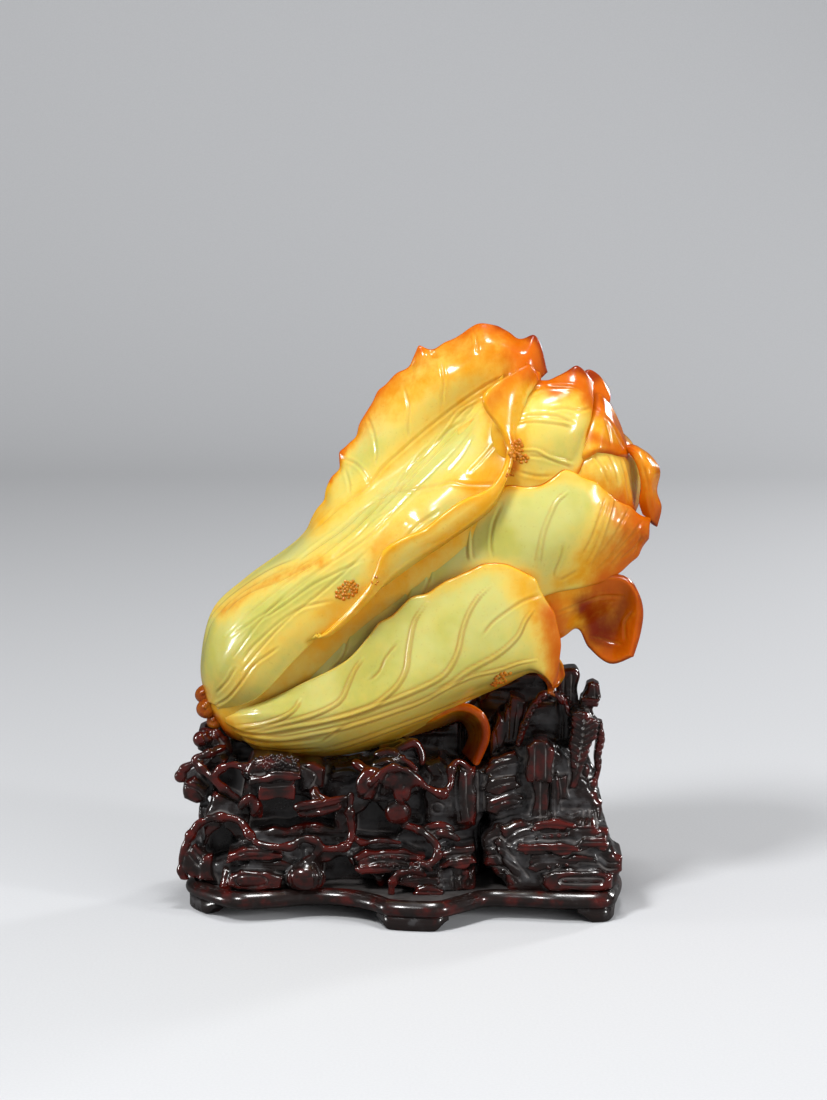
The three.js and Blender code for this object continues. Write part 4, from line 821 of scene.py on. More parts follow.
russet_strokes_pixels = [
    [8, 0.95, 498,326, 524,336, 540,344, 547,372], [9, 0.9, 560,366, 592,378],
    # The strokes from 580,604 and 594,604 lie in the fold of the drooping leaf: partly russet skin, partly
    # painted shade of its hollow.
    [9, 0.5, 600,402, 620,430, 626,446], [12, 0.5, 560,664, 556,694], [12, 0.9, 580,604, 590,616, 596,632],
    [16, 0.6, 594,604, 602,620, 606,638], [22, 0.45, 612,602, 622,618, 622,642], [12, 0.45, 650,534, 640,560],
    [6, 0.7, 202,700, 222,732, 238,748], [10, 0.7, 488,722, 490,745, 478,764],
    [5, 0.6, 655,470, 660,505, 652,524],
]


def soft_step(value, low, high):
    share = np.clip((value - low) / (high - low), 0, 1)
    return share * share * (3 - 2 * share)


def warmth(name, picture, facing, edges=None):
    """How gold, orange and russet each point of a face is."""
    gold, orange, russet, gold_rim, orange_rim, gold_tip, orange_tip = leaf_warmth[name]
    levels = [np.full(picture.shape[:-1], float(v)) for v in (gold, orange, russet)]
    front = 0 if name.startswith(("rear", "root")) else np.clip(np.abs(facing) * 5, 0, 1)
    if edges:
        rim, tip = np.minimum(edges[0], edges[1]) / millimetre, edges[3] / millimetre
        if name == "front_top_leaf":
            tip = np.maximum(tip, 12 * soft_step(edges[0] / (edges[0] + edges[1] + 1e-9), 0.55, 0.8))
        ripe = soft_step(edges[2] / (edges[2] + edges[3] + 1e-9), 0.1, 0.6)
        skin_rim = edges[0] / millimetre if name == "front_top_leaf" else rim
        for level, near, rim_reach, tip_reach in (
            (levels[0], rim, gold_rim, gold_tip), (levels[1], skin_rim, orange_rim, orange_tip),
        ):
            level += (1 - level) * (1 - soft_step(near, 0, rim_reach)) * (0.35 + 0.65 * ripe)
            level += (1 - level) * (1 - soft_step(tip, 0, tip_reach))
        rusty = 1 - soft_step(np.minimum(skin_rim, tip), 0, 0.5 * orange_rim)
        levels[2] += (1 - levels[2]) * 0.55 * rusty * ripe
    for level, strokes in zip(levels, (gold_strokes_pixels, orange_strokes_pixels, russet_strokes_pixels)):
        for width, strength, *line in strokes:
            distance, _ = line_distance(picture, line, 2 * width)
            level += (1 - level) * strength * bell(distance, width) * front
    return levels


print("brush strokes:", len(gold_strokes_pixels) + len(orange_strokes_pixels) + len(russet_strokes_pixels))

# %% [markdown]
# ## The jade
# Polished jade is glossy, a little translucent, and clouded inside. Its colour starts from two greens
# mixed by large soft noise. The stains lie over them, broken up by finer noise, and the veins are
# browner. Some subsurface scattering softens the shade, and a clear coat gives the polish.

# %% Jade material
deep_green, pale_green = (0.55, 0.53, 0.12), (0.66, 0.64, 0.21)
light_gold, deep_gold = (0.8, 0.6, 0.12), (0.82, 0.4, 0.01)
orange_skin, russet_skin = (0.62, 0.125, 0.001), (0.25, 0.02, 0.0005)
brown_vein, brown_speck = (0.5, 0.2, 0.008), (0.4, 0.2, 0.02)
jade_finish = Finish("polished_jade")
clouds = jade_finish.noise(38.0, 3.0, 0.55).between(0.36, 0.64)
mottle = jade_finish.noise(160.0, 4.0, 0.6)
fibres = jade_finish.noise(1.0, 4.0, 0.62, jade_finish.place((230.0, 230.0, 90.0)))
specks = jade_finish.noise(900.0, 2.0, 0.5).between(0.62, 0.74)
gold = jade_finish.kept("gold") + (mottle - 0.5) * 0.5 + (fibres - 0.5) * 0.25
gold_share, deep_share = gold.between(0.1, 0.7), gold.between(0.55, 1.1)
orange_share = (jade_finish.kept("orange") + (mottle - 0.5) * 0.45 + (fibres - 0.5) * 0.35).between(0.08, 1.0)
russet_share = (jade_finish.kept("russet") + (mottle - 0.5) * 0.3 + (fibres - 0.5) * 0.35).between(0.15, 1.05)
vein_share = jade_finish.kept("vein").between(0.08, 0.95)
colour = jade_finish.mix(clouds, deep_green, pale_green)
for share, stain in (
    (gold_share, light_gold), (deep_share, deep_gold), (orange_share, orange_skin),
    (russet_share, russet_skin), (vein_share * 0.6, brown_vein), (specks * 0.15, brown_speck),
):
    colour = jade_finish.mix(share, colour, stain)
polish = jade_finish.noise(420.0, 3.0, 0.5) * 0.1 + 0.13 + vein_share * 0.15
ripple = jade_finish.bump(jade_finish.noise(130.0, 2.0, 0.5), 0.12, 0.0006)
polished_jade = jade_finish.finish(
    Base_Color=colour, Roughness=polish, Coat_Weight=0.12, Normal=ripple, IOR=1.52, Specular_IOR_Level=0.42,
    Subsurface_Weight=0.45, Subsurface_Radius=(1.0, 0.55, 0.16), Subsurface_Scale=0.004, Coat_Roughness=0.06)
print("jade nodes:", len(jade_finish.nodes))

# %% Build the leaves
jade_pieces = {}


def carve_leaf(name):
    face, flesh, inward, picture = leaf_face(name)
    edges = run_from_edges(face)
    facing = -(inward @ toward_camera)
    raised, brown = vein_relief(name, picture, facing)
    if name.startswith("rear"):
        raised, brown = rear_vein_relief(face)
    levels = warmth(name, picture, facing, edges)
    rim_share = soft_step(np.minimum.reduce(edges) / millimetre, 0.3, 2.5)
    shaped = face - inward * (raised * rim_share * millimetre)[..., None]
    points, faces, lines = closed_leaf(shaped, flesh, inward, edges)
    made = mesh_object("jade_" + name, points, faces)
    for kept_name, value in zip(("gold", "orange", "russet", "vein"), (*levels, brown)):
        put_values(made, kept_name, np.concatenate([value.ravel(), value[np.ix_(*lines)].ravel()]))
    give(made, polished_jade)
    jade_pieces[name] = made
    print(made.name, len(made.data.vertices), "points")


for leaf_name in leaf_rails_pixels:
    carve_leaf(leaf_name)

# %% [markdown]
# Under the leaves lies the heart, a stack of rings round an axis from the cut root to the head. It shows
# only in the crevices, and stands for the CAD model's stone.

# %% Heart and cut root
heart_pixels = [
    [206, 702, 5, 0, 6], [214, 701, 30, -4, 23], [240, 693, 56, -7, 44], [300, 655, 76, -6, 65],
    [360, 612, 90, -5, 80], [420, 572, 98, 0, 94], [480, 535, 102, 0, 98], [540, 500, 96, 0, 92],
    [590, 474, 76, 0, 72], [618, 462, 50, 0, 46], [634, 455, 20, 0, 18], [638, 453, 3, 0, 3],
]
heart_sides, heart_rings = 72, 90
heart_inset = 0.985


def swept(rings, first_end, last_end):
    """Points and faces of a closed stack of rings, with a fan at each end."""
    sides = len(rings[0])
    points = np.concatenate([*rings, [first_end], [last_end]])
    at = np.arange(len(rings) * sides).reshape(len(rings), sides)
    beside = np.roll(at, -1, 1)
    quads = np.stack([at[:-1], beside[:-1], beside[1:], at[1:]], -1).reshape(-1, 4)
    first_fan = np.stack([np.full(sides, len(points) - 2), beside[0], at[0]], -1)
    last_fan = np.stack([np.full(sides, len(points) - 1), at[-1], beside[-1]], -1)
    return points, [quads, np.concatenate([first_fan, last_fan])]


def jade_body(name, picture, faces):
    """A part of the stone made from picture points, stained by the strokes that reach it."""
    made = mesh_object("jade_" + name, placed(picture), faces)
    for kept_name, value in zip(("gold", "orange", "russet"), warmth(name, picture, np.ones(len(picture)))):
        put_values(made, kept_name, value)
    put_values(made, "vein", np.zeros(len(picture)))
    give(made, polished_jade)
    jade_pieces[name] = made
    print(made.name, len(picture), "points")


rows = smooth_rows(heart_pixels, np.linspace(0, len(heart_pixels) - 1, heart_rings))
course = np.gradient(rows[:, :2], axis=0)
course /= np.linalg.norm(course, axis=1, keepdims=True)
turns = np.linspace(0, 2 * math.pi, heart_sides, endpoint=False)
out = heart_inset * rows[:, 2:3] * np.cos(turns)
heart_rings_pixels = np.stack([
    rows[:, :1] - out * course[:, 1:],
    rows[:, 1:2] + out * course[:, :1],
    rows[:, 3:4] + heart_inset * rows[:, 4:5] * np.sin(turns),
], -1)
jade_body("heart", *swept(heart_rings_pixels, heart_rings_pixels[0].mean(0), heart_rings_pixels[-1].mean(0)))

# %% The knobs of the cut root
root_knots_pixels = [[203.5, 695, -6, 9.5], [206, 709, -11, 10.5], [214, 722, -8, 8.5]]
polar, turns = np.meshgrid(np.linspace(0, math.pi, 26)[1:-1], np.linspace(0, 2 * math.pi, 40, endpoint=False),
                           indexing="ij")
round_shape = np.stack([np.sin(polar) * np.cos(turns), np.sin(polar) * np.sin(turns), np.cos(polar)], -1)
lumps = 0.08 * np.sin(2 * turns + 2 * polar) + 0.05 * np.sin(4 * polar - turns)
points, quads, fans = [], [], []
for across, down, depth, radius in root_knots_pixels:
    middle = np.array([across, down, depth])
    rings = middle + radius * (1 + lumps[..., None]) * round_shape
    knob, knob_faces = swept(rings, middle + [0, 0, radius], middle - [0, 0, radius])
    start = sum(map(len, points))
    points.append(knob)
    quads.append(knob_faces[0] + start)
    fans.append(knob_faces[1] + start)
jade_body("root", np.concatenate(points), [np.concatenate(quads), np.concatenate(fans)])

# %% [markdown]
# ## The rockwork
# The stand is carved like weathered garden rock, and its forms melt into one another, which is hard to
# model face by face. So they are described as a distance field: a block of small cells, each holding its
# distance to the nearest surface, less than zero inside the wood. Forms are joined by taking the smaller
# distance, cuts add to it, and a smooth skin is drawn where it is zero, one for each block of the CAD
# model.

# %% The field of cells
cell = 0.5 * millimetre
field_low = np.array([-98.0, -39.5, 10.0]) * millimetre
field_high = np.array([89.5, 48.5, 97.5]) * millimetre
counts = np.round((field_high - field_low) / cell).astype(int) + 1
cell_x, cell_y, cell_z = (field_low[axis] + cell * np.arange(counts[axis]) for axis in range(3))
cell_across = (cell_x - shift_across) / pixel + ground_centre_pixels[0]
cell_depth = (cell_y - shift_back) / pixel
cell_down = ground_centre_pixels[1] - cell_z[None] * cos_tilt / pixel - cell_depth[:, None] * sin_tilt
empty = 6.0
field = np.full(tuple(counts), empty, np.float32)
print("cells:", field.size)


def cells_within(across, down, depth, margin=8):
    """Slices of the field that hold a box given in picture pixels."""
    low, high = np.array([across, down, depth]).T + [[-margin], [margin]]
    slices = [slice(*np.searchsorted(cell_across, [low[0], high[0]]))]
    slices.append(slice(*np.searchsorted(cell_depth, [low[2], high[2]])))
    levels = cell_down[slices[1]]
    if not levels.size:
        return (slice(0, 0),) * 3
    held = np.flatnonzero(((levels > low[1]) & (levels < high[1])).any(0))
    slices.append(slice(held[0], held[-1] + 1) if len(held) else slice(0, 0))
    return tuple(slices)


def axes_of(slices):
    """Across, down and depth of some cells, shaped so that they broadcast."""
    across = cell_across[slices[0]][:, None, None]
    down = cell_down[slices[1], slices[2]][None]
    depth = cell_depth[slices[1]][None, :, None]
    return across, down, depth

# %% [markdown]
# Most rocks are outlines in the picture that run back from a front face. The distance to an outline is
# worked out once on a flat raster, where each cell looks its own up.

# %% Distances to outlines, lines and balls
raster_step = 0.5


def outline_distance(points, outline):
    """Signed distance of flat points to a closed outline, less than zero inside."""
    outline = np.asarray(outline, float)
    nearest = np.full(points.shape[:-1], 1e9)
    inside = np.zeros(points.shape[:-1], bool)
    for start, end in zip(outline, np.roll(outline, -1, 0)):
        run = end - start
        away = points - start
        along = np.clip((away @ run) / (run @ run), 0, 1)
        nearest = np.minimum(nearest, np.linalg.norm(away - along[..., None] * run, axis=-1))
        crosses = (points[..., 1] < start[1]) != (points[..., 1] < end[1])
        level = (points[..., 1] - start[1]) / np.where(abs(run[1]) < 1e-9, 1e-9, run[1])
        inside ^= crosses & (points[..., 0] < start[0] + level * run[0])
    return np.where(inside, -nearest, nearest)


def look_up(make, across, down):
    """Values of a flat raster made by make(points), read at each cell."""
    rows = np.arange(across.min(), across.max() + 2 * raster_step, raster_step)
    columns = np.arange(down.min(), down.max() + 2 * raster_step, raster_step)
    flat = make(np.stack(np.meshgrid(rows, columns, indexing="ij"), -1)).astype(np.float32)
    row = ((across - rows[0]) / raster_step).astype(np.float32)
    column = ((down - columns[0]) / raster_step).astype(np.float32)
    near = np.minimum(row.astype(np.int32), len(rows) - 2)
    low = np.minimum(column.astype(np.int32), len(columns) - 2)
    row, column = row - near, column - low
    first = flat[near, low] * (1 - column) + flat[near, low + 1] * column
    second = flat[near + 1, low] * (1 - column) + flat[near + 1, low + 1] * column
    return first * (1 - row) + second * row


def melt(first, second, softness):
    """The smaller of two distances, with a fillet where they meet."""
    near = np.clip(1 - np.abs(first - second) / softness, 0, 1)
    return np.minimum(first, second) - near * near * softness / 4


organic_waves = [[0.11, 0.05, 0.4], [-0.06, 0.13, 2.1], [0.21, -0.17, 4.0], [0.31, 0.27, 1.2]]


def wavering(points, reach=1.1):
    """Flat points pushed about by a few long waves, so that no carved outline is straight."""
    across, down = points[..., 0], points[..., 1]
    push = sum(np.sin(a * across + b * down + c) for a, b, c in organic_waves)
    other = sum(np.cos(b * across - a * down + 2 * c) for a, b, c in organic_waves)
    return points + reach * 0.5 * np.stack([push, other], -1)


def flat_distance(outline, front, rear, share=1.0):
    """The cells around a rock, their distance to its outline, and their depth. The rock runs back level,
    drawn in toward its middle until a share of its size is left at the rear."""
    outline = points_of(outline).astype(float)
    corners = placed(np.concatenate([outline, np.full((len(outline), 1), front)], 1))
    middle = corners.mean(0)
    margin = 3.5 * millimetre
    low = np.array([corners[:, 0].min(), front * pixel + shift_back, corners[:, 2].min()]) - margin
    high = np.array([corners[:, 0].max(), rear * pixel + shift_back, corners[:, 2].max()]) + margin
    first = np.clip(np.floor((low - field_low) / cell).astype(int), 0, counts)
    last = np.clip(np.ceil((high - field_low) / cell).astype(int) + 1, 0, counts)
    slices = tuple(slice(a, b) for a, b in zip(first, last))
    depth = cell_depth[slices[1]][None, :, None]
    grown = 1 / (1 + (share - 1) * np.clip((depth - front) / (rear - front), 0, 1))
    x = middle[0] + (cell_x[slices[0]][:, None, None] - middle[0]) * grown
    z = middle[2] + (cell_z[slices[2]][None, None] - middle[2]) * grown
    across = (x - shift_across) / pixel + ground_centre_pixels[0]
    down = ground_centre_pixels[1] - (z * cos_tilt + front * pixel * sin_tilt) / pixel

    def to_outline(points):
        return outline_distance(wavering(points), outline)

    return slices, look_up(to_outline, across, down) * pixel / millimetre / grown, depth


def add_slab(front, rear, rounding, outline, softness=0.8, bulge=0.0, share=0.97):
    """Joins a rock to the field: an outline run back from a front face that may bulge."""
    slices, side, depth = flat_distance(outline, front, rear, share)
    face = front - bulge * np.sqrt(np.clip(-side, 0, 9)) * 1.2 + 1.5 * bulge
    thick = np.maximum(face - depth, depth - rear) * pixel / millimetre + rounding
    side = side + rounding
    outside = np.hypot(np.maximum(side, 0), np.maximum(thick, 0))
    distance = np.minimum(np.maximum(side, thick), 0) + outside - rounding
    field[slices] = melt(field[slices], distance, softness)


def add_ball(centre, radii, softness=0.6, ribs=0, rib_depth=0.0):
    """Joins an egg to the field. Radii are pixels across, down and in depth. Ribs make it a gourd."""
    centre, radii = np.asarray(centre, float), np.broadcast_to(np.asarray(radii, float), 3)
    slices = cells_within(*zip(centre - radii, centre + radii))
    if 0 in field[slices].shape:
        return
    across, down, depth = axes_of(slices)
    away = [(across - centre[0]) / radii[0], (down - centre[1]) / radii[1], (depth - centre[2]) / radii[2]]
    length = np.sqrt(away[0] ** 2 + away[1] ** 2 + away[2] ** 2)
    distance = (length - 1) * radii.min() * pixel / millimetre
    if ribs:
        turn = np.arctan2(away[2], away[0])
        side_share = np.clip(1.9 * np.abs(away[0]) - 0.6, 0, 1)
        distance = distance + rib_depth * (1 - np.abs(np.cos(turn * ribs / 2))) ** 3 * side_share
    field[slices] = melt(field[slices], distance, softness)


def add_cord(line, radius, softness=0.5, swell=0.12, end_share=0.8):
    """Joins a round cord to the field: a vine along a smoothed line, with knuckles along it."""
    course = smooth_rows(line, np.linspace(0, len(line) - 1, 8 * (len(line) - 1) + 1))
    run = run_along(course)
    share = run / run[-1]
    waves = np.sin(run / 4.6) + 0.6 * np.sin(run / 2.1 + 1)
    widths = radius * (1 + swell * waves) * (1 - (1 - end_share) * share ** 3)
    for start, end, width in zip(course[:-1], course[1:], widths):
        low, high = np.minimum(start, end) - 2 * width, np.maximum(start, end) + 2 * width
        slices = cells_within(*zip(low, high), margin=2)
        if 0 in field[slices].shape:
            continue
        across, down, depth = axes_of(slices)
        rod = end - start
        away = (across - start[0], down - start[1], depth - start[2])
        along = np.clip(sum(a * r for a, r in zip(away, rod)) / (rod @ rod), 0, 1)
        distance = np.sqrt(sum((a - along * r) ** 2 for a, r in zip(away, rod))) - width
        field[slices] = melt(field[slices], distance * pixel / millimetre, softness)


def cut_line(line, width, deep, depths):
    """Cuts a groove along a line seen from the front, or raises a ridge where deep is less than zero."""
    flat = points_of(line)
    slices = cells_within(*zip(flat.min(0), flat.max(0)), depths, 4)
    if 0 in field[slices].shape:
        return

    def groove(points):
        return bell(line_distance(points, line, 6)[0], width)

    field[slices] += deep * look_up(groove, *axes_of(slices)[:2])

# %% [markdown]
# Weathered rock is never smooth. Soft noise is made from random numbers on a coarse lattice, spread over
# the cells by smooth weights along each axis. The seed is fixed, so the rock stays the same.

# %% Soft noise over the cells
noise_numbers = np.random.default_rng(7)


def soft_noise(size):
    """Noise from -1 to 1 with bumps about size millimetres wide, for each cell. Sizes along x, y and z."""
    shape = [int(count * cell / millimetre / width) + 3 for count, width in zip(counts, size)]
    values = noise_numbers.uniform(-1, 1, shape).astype(np.float32)
    for axis in range(3):
        place = np.arange(counts[axis]) * cell / millimetre / size[axis]
        row = place.astype(int)
        part = (place - row) ** 2 * (3 - 2 * (place - row))
        weights = np.zeros((counts[axis], shape[axis]), np.float32)
        weights[np.arange(counts[axis]), row] = 1 - part
        weights[np.arange(counts[axis]), row + 1] += part
        values = np.moveaxis(np.tensordot(weights, values, (1, axis)), 0, axis)
    return values

# %% [markdown]
# The large masses come first, with the outlines and depths of the CAD source. They are well rounded and
# melt together, and noise in three sizes weathers them.

# %% Large masses of rock
# Front and rear depth, share of the size that is left at the rear, and the outline.
masses_pixels = [
    [-46, 26, 0.9, 204,900, 202,830, 212,792, 226,774, 252,768, 306,772, 306,900],
    [-30, 22, 0.9, 192,876, 190,846, 200,826, 222,822, 236,850, 230,900, 196,900],
    [-26, 22, 0.85, 198,800, 200,764, 214,750, 236,762, 240,800],
    [-64, -20, 0.94, 214,900, 222,866, 288,868, 296,900],
    [-40, 26, 0.92, 300,900, 300,768, 330,764, 362,762, 400,758, 440,764, 474,772, 486,800, 486,900],
    [-60, -20, 0.92, 418,774, 446,764, 472,778, 478,826, 452,838, 424,826],
    [-54, -10, 0.92, 324,900, 330,866, 352,858, 384,874, 390,900],
    [-64, -20, 0.96, 436,872, 478,864, 478,900, 440,900],
    [-70, 26, 0.94, 489,846, 500,826, 520,818, 592,818, 608,830, 620,868, 612,900, 500,900, 486,872],
    [-42, 26, 0.9, 486,830, 484,776, 498,754, 522,742, 556,744, 590,784, 604,804, 604,830],
    [-14, 14, 0.9, 510,752, 516,718, 532,702, 556,702, 572,722, 578,752],
    [16, 84, 0.85, 214,900, 210,780, 222,738, 262,742, 306,756, 340,764, 372,790, 380,900],
    [16, 96, 0.8, 356,900, 358,770, 366,746, 404,730, 442,720, 452,768, 486,782, 490,900],
    [16, 80, 0.85, 430,900, 432,744, 446,722, 474,704, 496,682, 520,668, 546,662, 560,700, 584,732, 600,784,
     606,900],
    [40, 104, 0.85, 240,900, 250,836, 300,822, 350,834, 364,900],
    [40, 110, 0.85, 392,900, 404,846, 450,832, 492,842, 500,900],
    [40, 100, 0.85, 512,900, 524,826, 560,812, 592,824, 600,900],
]
# Hollows between the ledges: front and rear depth, and the outline.
hollows_pixels = [
    [-90, -12, 250,838, 250,812, 262,800, 296,802, 316,814, 336,818, 334,836, 300,834],
    [-90, -22, 356,846, 358,826, 374,812, 392,828, 404,836, 396,847],
    [-90, -26, 322,896, 322,874, 346,868, 370,880, 378,894],
    [-90, -10, 478,900, 474,842, 486,822, 494,850, 504,880, 508,896],
    [-90, -6, 216,800, 218,780, 232,774, 246,790, 238,812],
    [-90, -14, 206,872, 208,846, 222,834, 238,850, 236,866],
    [30, 130, 372,884, 366,836, 376,806, 388,812, 392,850, 386,884],
    [66, 130, 500,880, 504,846, 512,812, 522,846, 520,880],
    [60, 130, 262,880, 270,850, 284,842, 294,852, 290,880],
]
for front, rear, share, *outline in masses_pixels:
    add_slab(front, rear, 3.0, outline, softness=3.0, bulge=1.4, share=share)
# Weathering: its depth, and the size of its bumps along x, y and z, in millimetres.
weathering_millimetres = [[0.7, 11, 11, 9], [0.35, 4.5, 4.5, 3.2], [0.3, 26, 26, 1.7]]
field += sum(deep * soft_noise(size) for deep, *size in weathering_millimetres)
for front, rear, *outline in hollows_pixels:
    slices, side, depth = flat_distance(outline, front, rear)
    hollow = np.maximum(side, np.maximum(front - depth, depth - rear) * pixel / millimetre)
    field[slices] = -melt(-field[slices], hollow, 2.4)
print("wood after the large masses:", float((field < 0).mean().round(3)))

# %% [markdown]
# Next come the slabs, posts and ledges that the carver cut on the masses. Each has a front and a rear
# depth, the rounding of its worn edges, the bulge of its face, and its outline.

# %% Slabs, posts and ledges
slabs_pixels = [
    [-70, -10, 1.6, 1.4, 246,772, 251,761, 268,754, 290,756, 302,765, 301,771, 276,768, 250,774],
    [-76, -12, 1, 0.4, 249,783, 250,774, 276,770, 302,772, 301,779, 274,780],
    [-72, -20, 0.8, 0.2, 259,790, 260,782, 296,780, 295,797, 260,799],
    [-60, -10, 1.8, 1.2, 299,790, 300,764, 314,760, 326,768, 324,788, 310,792],
    [-48, -6, 2.2, 1.6, 326,776, 334,766, 360,762, 366,774, 352,784, 332,786],
    [-76, -20, 1.2, 1, 226,863, 229,853, 243,847, 266,847, 282,851, 283,858, 250,861],
    [-72, -20, 1, 0.6, 240,868, 250,862, 282,860, 296,864, 284,871, 262,871],
    [-80, -30, 1.8, 0.9, 229,884, 232,874, 243,870, 262,871, 284,876, 282,889, 240,890],
    [-66, -20, 1.6, 0.8, 262,872, 284,872, 292,890, 270,891],
    [-36, 10, 2.2, 1.6, 183,800, 182,784, 194,778, 208,788, 206,803, 196,806],
    [-30, 6, 1.6, 1, 198,824, 198,808, 206,806, 210,818, 206,826],
    [-48, -6, 1.6, 1, 182,872, 184,852, 196,846, 206,856, 203,872, 192,882],
    [-52, -20, 1.2, 0.8, 196,880, 202,860, 212,856, 214,884],
    [-20, 20, 2.6, 1.8, 196,752, 198,732, 212,726, 228,736, 232,756, 214,762],
    [-70, -20, 2.2, 1.8, 357,798, 360,778, 374,764, 398,758, 416,764, 420,790, 400,800, 376,804],
    [-56, -20, 2, 1.6, 376,764, 380,748, 398,742, 418,744, 424,758, 404,768],
    [-58, -14, 2.4, 2, 420,784, 422,764, 438,759, 450,766, 448,784],
    [-66, -14, 2.6, 1.8, 452,826, 450,776, 458,764, 474,768, 478,800, 474,826],
    [-70, -24, 1.2, 0.8, 352,858, 366,850, 404,849, 426,855, 424,862, 398,864, 360,866],
    [-74, -24, 1, 0.4, 354,868, 366,864, 404,863, 422,862, 416,870, 394,874, 362,874],
    [-80, -30, 1.2, 0.6, 396,885, 402,876, 418,874, 438,877, 440,884, 424,888],
    [-84, -40, 1.2, 0.6, 412,894, 416,886, 432,885, 444,889, 443,896, 420,897],
    [-68, -20, 0.8, 0.3, 438,890, 438,869, 456,866, 468,868, 468,889, 454,892],
    [-76, -24, 1, 0.5, 440,852, 454,846, 474,845, 477,852, 462,857, 442,858],
    [-80, -24, 1, 0.3, 438,866, 450,858, 474,856, 477,862, 460,868],
    [-62, -10, 1.8, 1, 498,850, 500,832, 512,822, 534,818, 590,820, 604,832, 600,846, 540,850],
    [-78, -30, 1, 0.6, 530,831, 534,822, 552,819, 572,822, 577,829, 556,828],
    [-82, -30, 1, 0.4, 514,848, 518,842, 548,842, 580,844, 581,851, 560,853, 524,853],
    [-80, -30, 1, 0.3, 576,842, 584,836, 606,838, 609,844, 604,850, 582,850],
    [-76, -30, 1, 0.3, 568,834, 572,824, 594,824, 600,832, 594,838, 576,838],
    [-80, -30, 1, 0.4, 528,870, 532,854, 560,854, 596,856, 598,862, 560,864, 536,872],
    [-84, -30, 2.4, 0.7, 541,886, 542,874, 552,868, 600,867, 612,874, 611,888, 596,892, 548,892],
    [-72, -14, 2, 1.2, 594,868, 596,854, 612,850, 622,858, 622,872, 610,878],
    [-64, 10, 2.4, 1.4, 484,866, 482,838, 494,824, 510,822, 530,856, 532,884, 508,886],
    [-24, 10, 1.8, 1.2, 576,824, 578,812, 590,809, 604,813, 605,826, 596,832],
    [-40, -4, 1.2, 1, 489,756, 492,730, 499,713, 505,722, 504,750],
    [-40, -6, 1.4, 0.8, 504,744, 503,718, 510,698, 526,701, 524,728, 517,744],
    [-54, -20, 1.6, 1.2, 480,774, 492,758, 514,750, 522,760, 518,772, 496,782],
    [-58, -20, 1.6, 1.2, 480,792, 486,776, 516,772, 520,788, 500,796],
    [-56, -20, 1.6, 1, 484,812, 486,796, 512,790, 524,796, 520,808, 498,816],
    [-50, -14, 1.2, 0.6, 474,814, 474,770, 484,766, 489,772, 489,814],
    [-66, -30, 1.8, 0.6, 526,782, 527,746, 534,740, 546,740, 552,748, 551,782],
    [-62, -26, 1.2, 0.4, 532,816, 533,778, 548,778, 548,818],
    [-56, -26, 1.2, 0.4, 550,816, 550,778, 556,774, 560,780, 560,816],
    [-52, -20, 1.2, 0.4, 560,800, 561,778, 567,776, 569,800],
    [-44, -10, 1.4, 1, 492,822, 496,804, 520,802, 538,812, 538,824],
    [-50, -24, 1.2, 0.8, 571,790, 569,740, 571,712, 584,709, 598,722, 597,738, 586,760, 576,790],
    [-34, -12, 1, 0.4, 598,722, 604,723, 604,752, 598,782, 592,782, 596,752],
    [-30, -8, 1.6, 0.6, 583,698, 585,684, 592,681, 600,685, 600,698],
    [-34, -6, 1, 0.3, 580,706, 581,698, 600,698, 599,707],
    [-30, -4, 1.4, 0.5, 568,716, 572,706, 594,706, 596,718],
    [-18, 12, 1.8, 0.7, 557,742, 558,676, 563,669, 576,670, 579,678, 577,742],
    [-22, 4, 1.6, 1, 586,806, 588,792, 596,789, 602,796, 600,808],
]
# Rocks of the rear face start inside a mass and show at their rear depth.
rear_slabs_pixels = [
    [60, 96, 1.6, 262,800, 272,786, 300,782, 320,790, 318,802, 286,806],
    [60, 106, 1.2, 250,852, 262,842, 300,840, 316,850, 282,858],
    [60, 106, 1.2, 330,880, 334,862, 356,856, 366,868, 360,886],
    [60, 102, 1.6, 398,812, 404,790, 430,784, 458,790, 450,806, 420,814],
    [60, 114, 1.2, 410,862, 424,852, 462,850, 474,858, 452,866],
    [60, 114, 1.2, 400,884, 412,874, 450,872, 470,880, 452,890],
    [50, 88, 1.6, 510,770, 520,748, 546,742, 566,752, 560,774, 530,780],
    [50, 102, 1.2, 524,846, 536,832, 570,832, 590,842, 566,850],
    [50, 92, 1.4, 500,806, 510,792, 544,790, 566,798, 552,810],
    [50, 102, 1.2, 560,890, 566,872, 590,868, 600,880, 594,894],
    [50, 86, 1.8, 222,836, 228,812, 246,806, 258,822, 248,840],
]
for front, rear, rounding, bulge, *outline in slabs_pixels:
    add_slab(front, rear, rounding, outline, softness=1.4, bulge=bulge)
for front, rear, rounding, *outline in rear_slabs_pixels:
    add_slab(front, rear, rounding, outline, softness=1.6)
print("slabs:", len(slabs_pixels) + len(rear_slabs_pixels))

# %% [markdown]
# The vine is what the eye follows over the rock. Cords follow smoothed lines and swell a little like
# knuckles. The gourd is ribbed, so its distance gets a wave that runs round it.

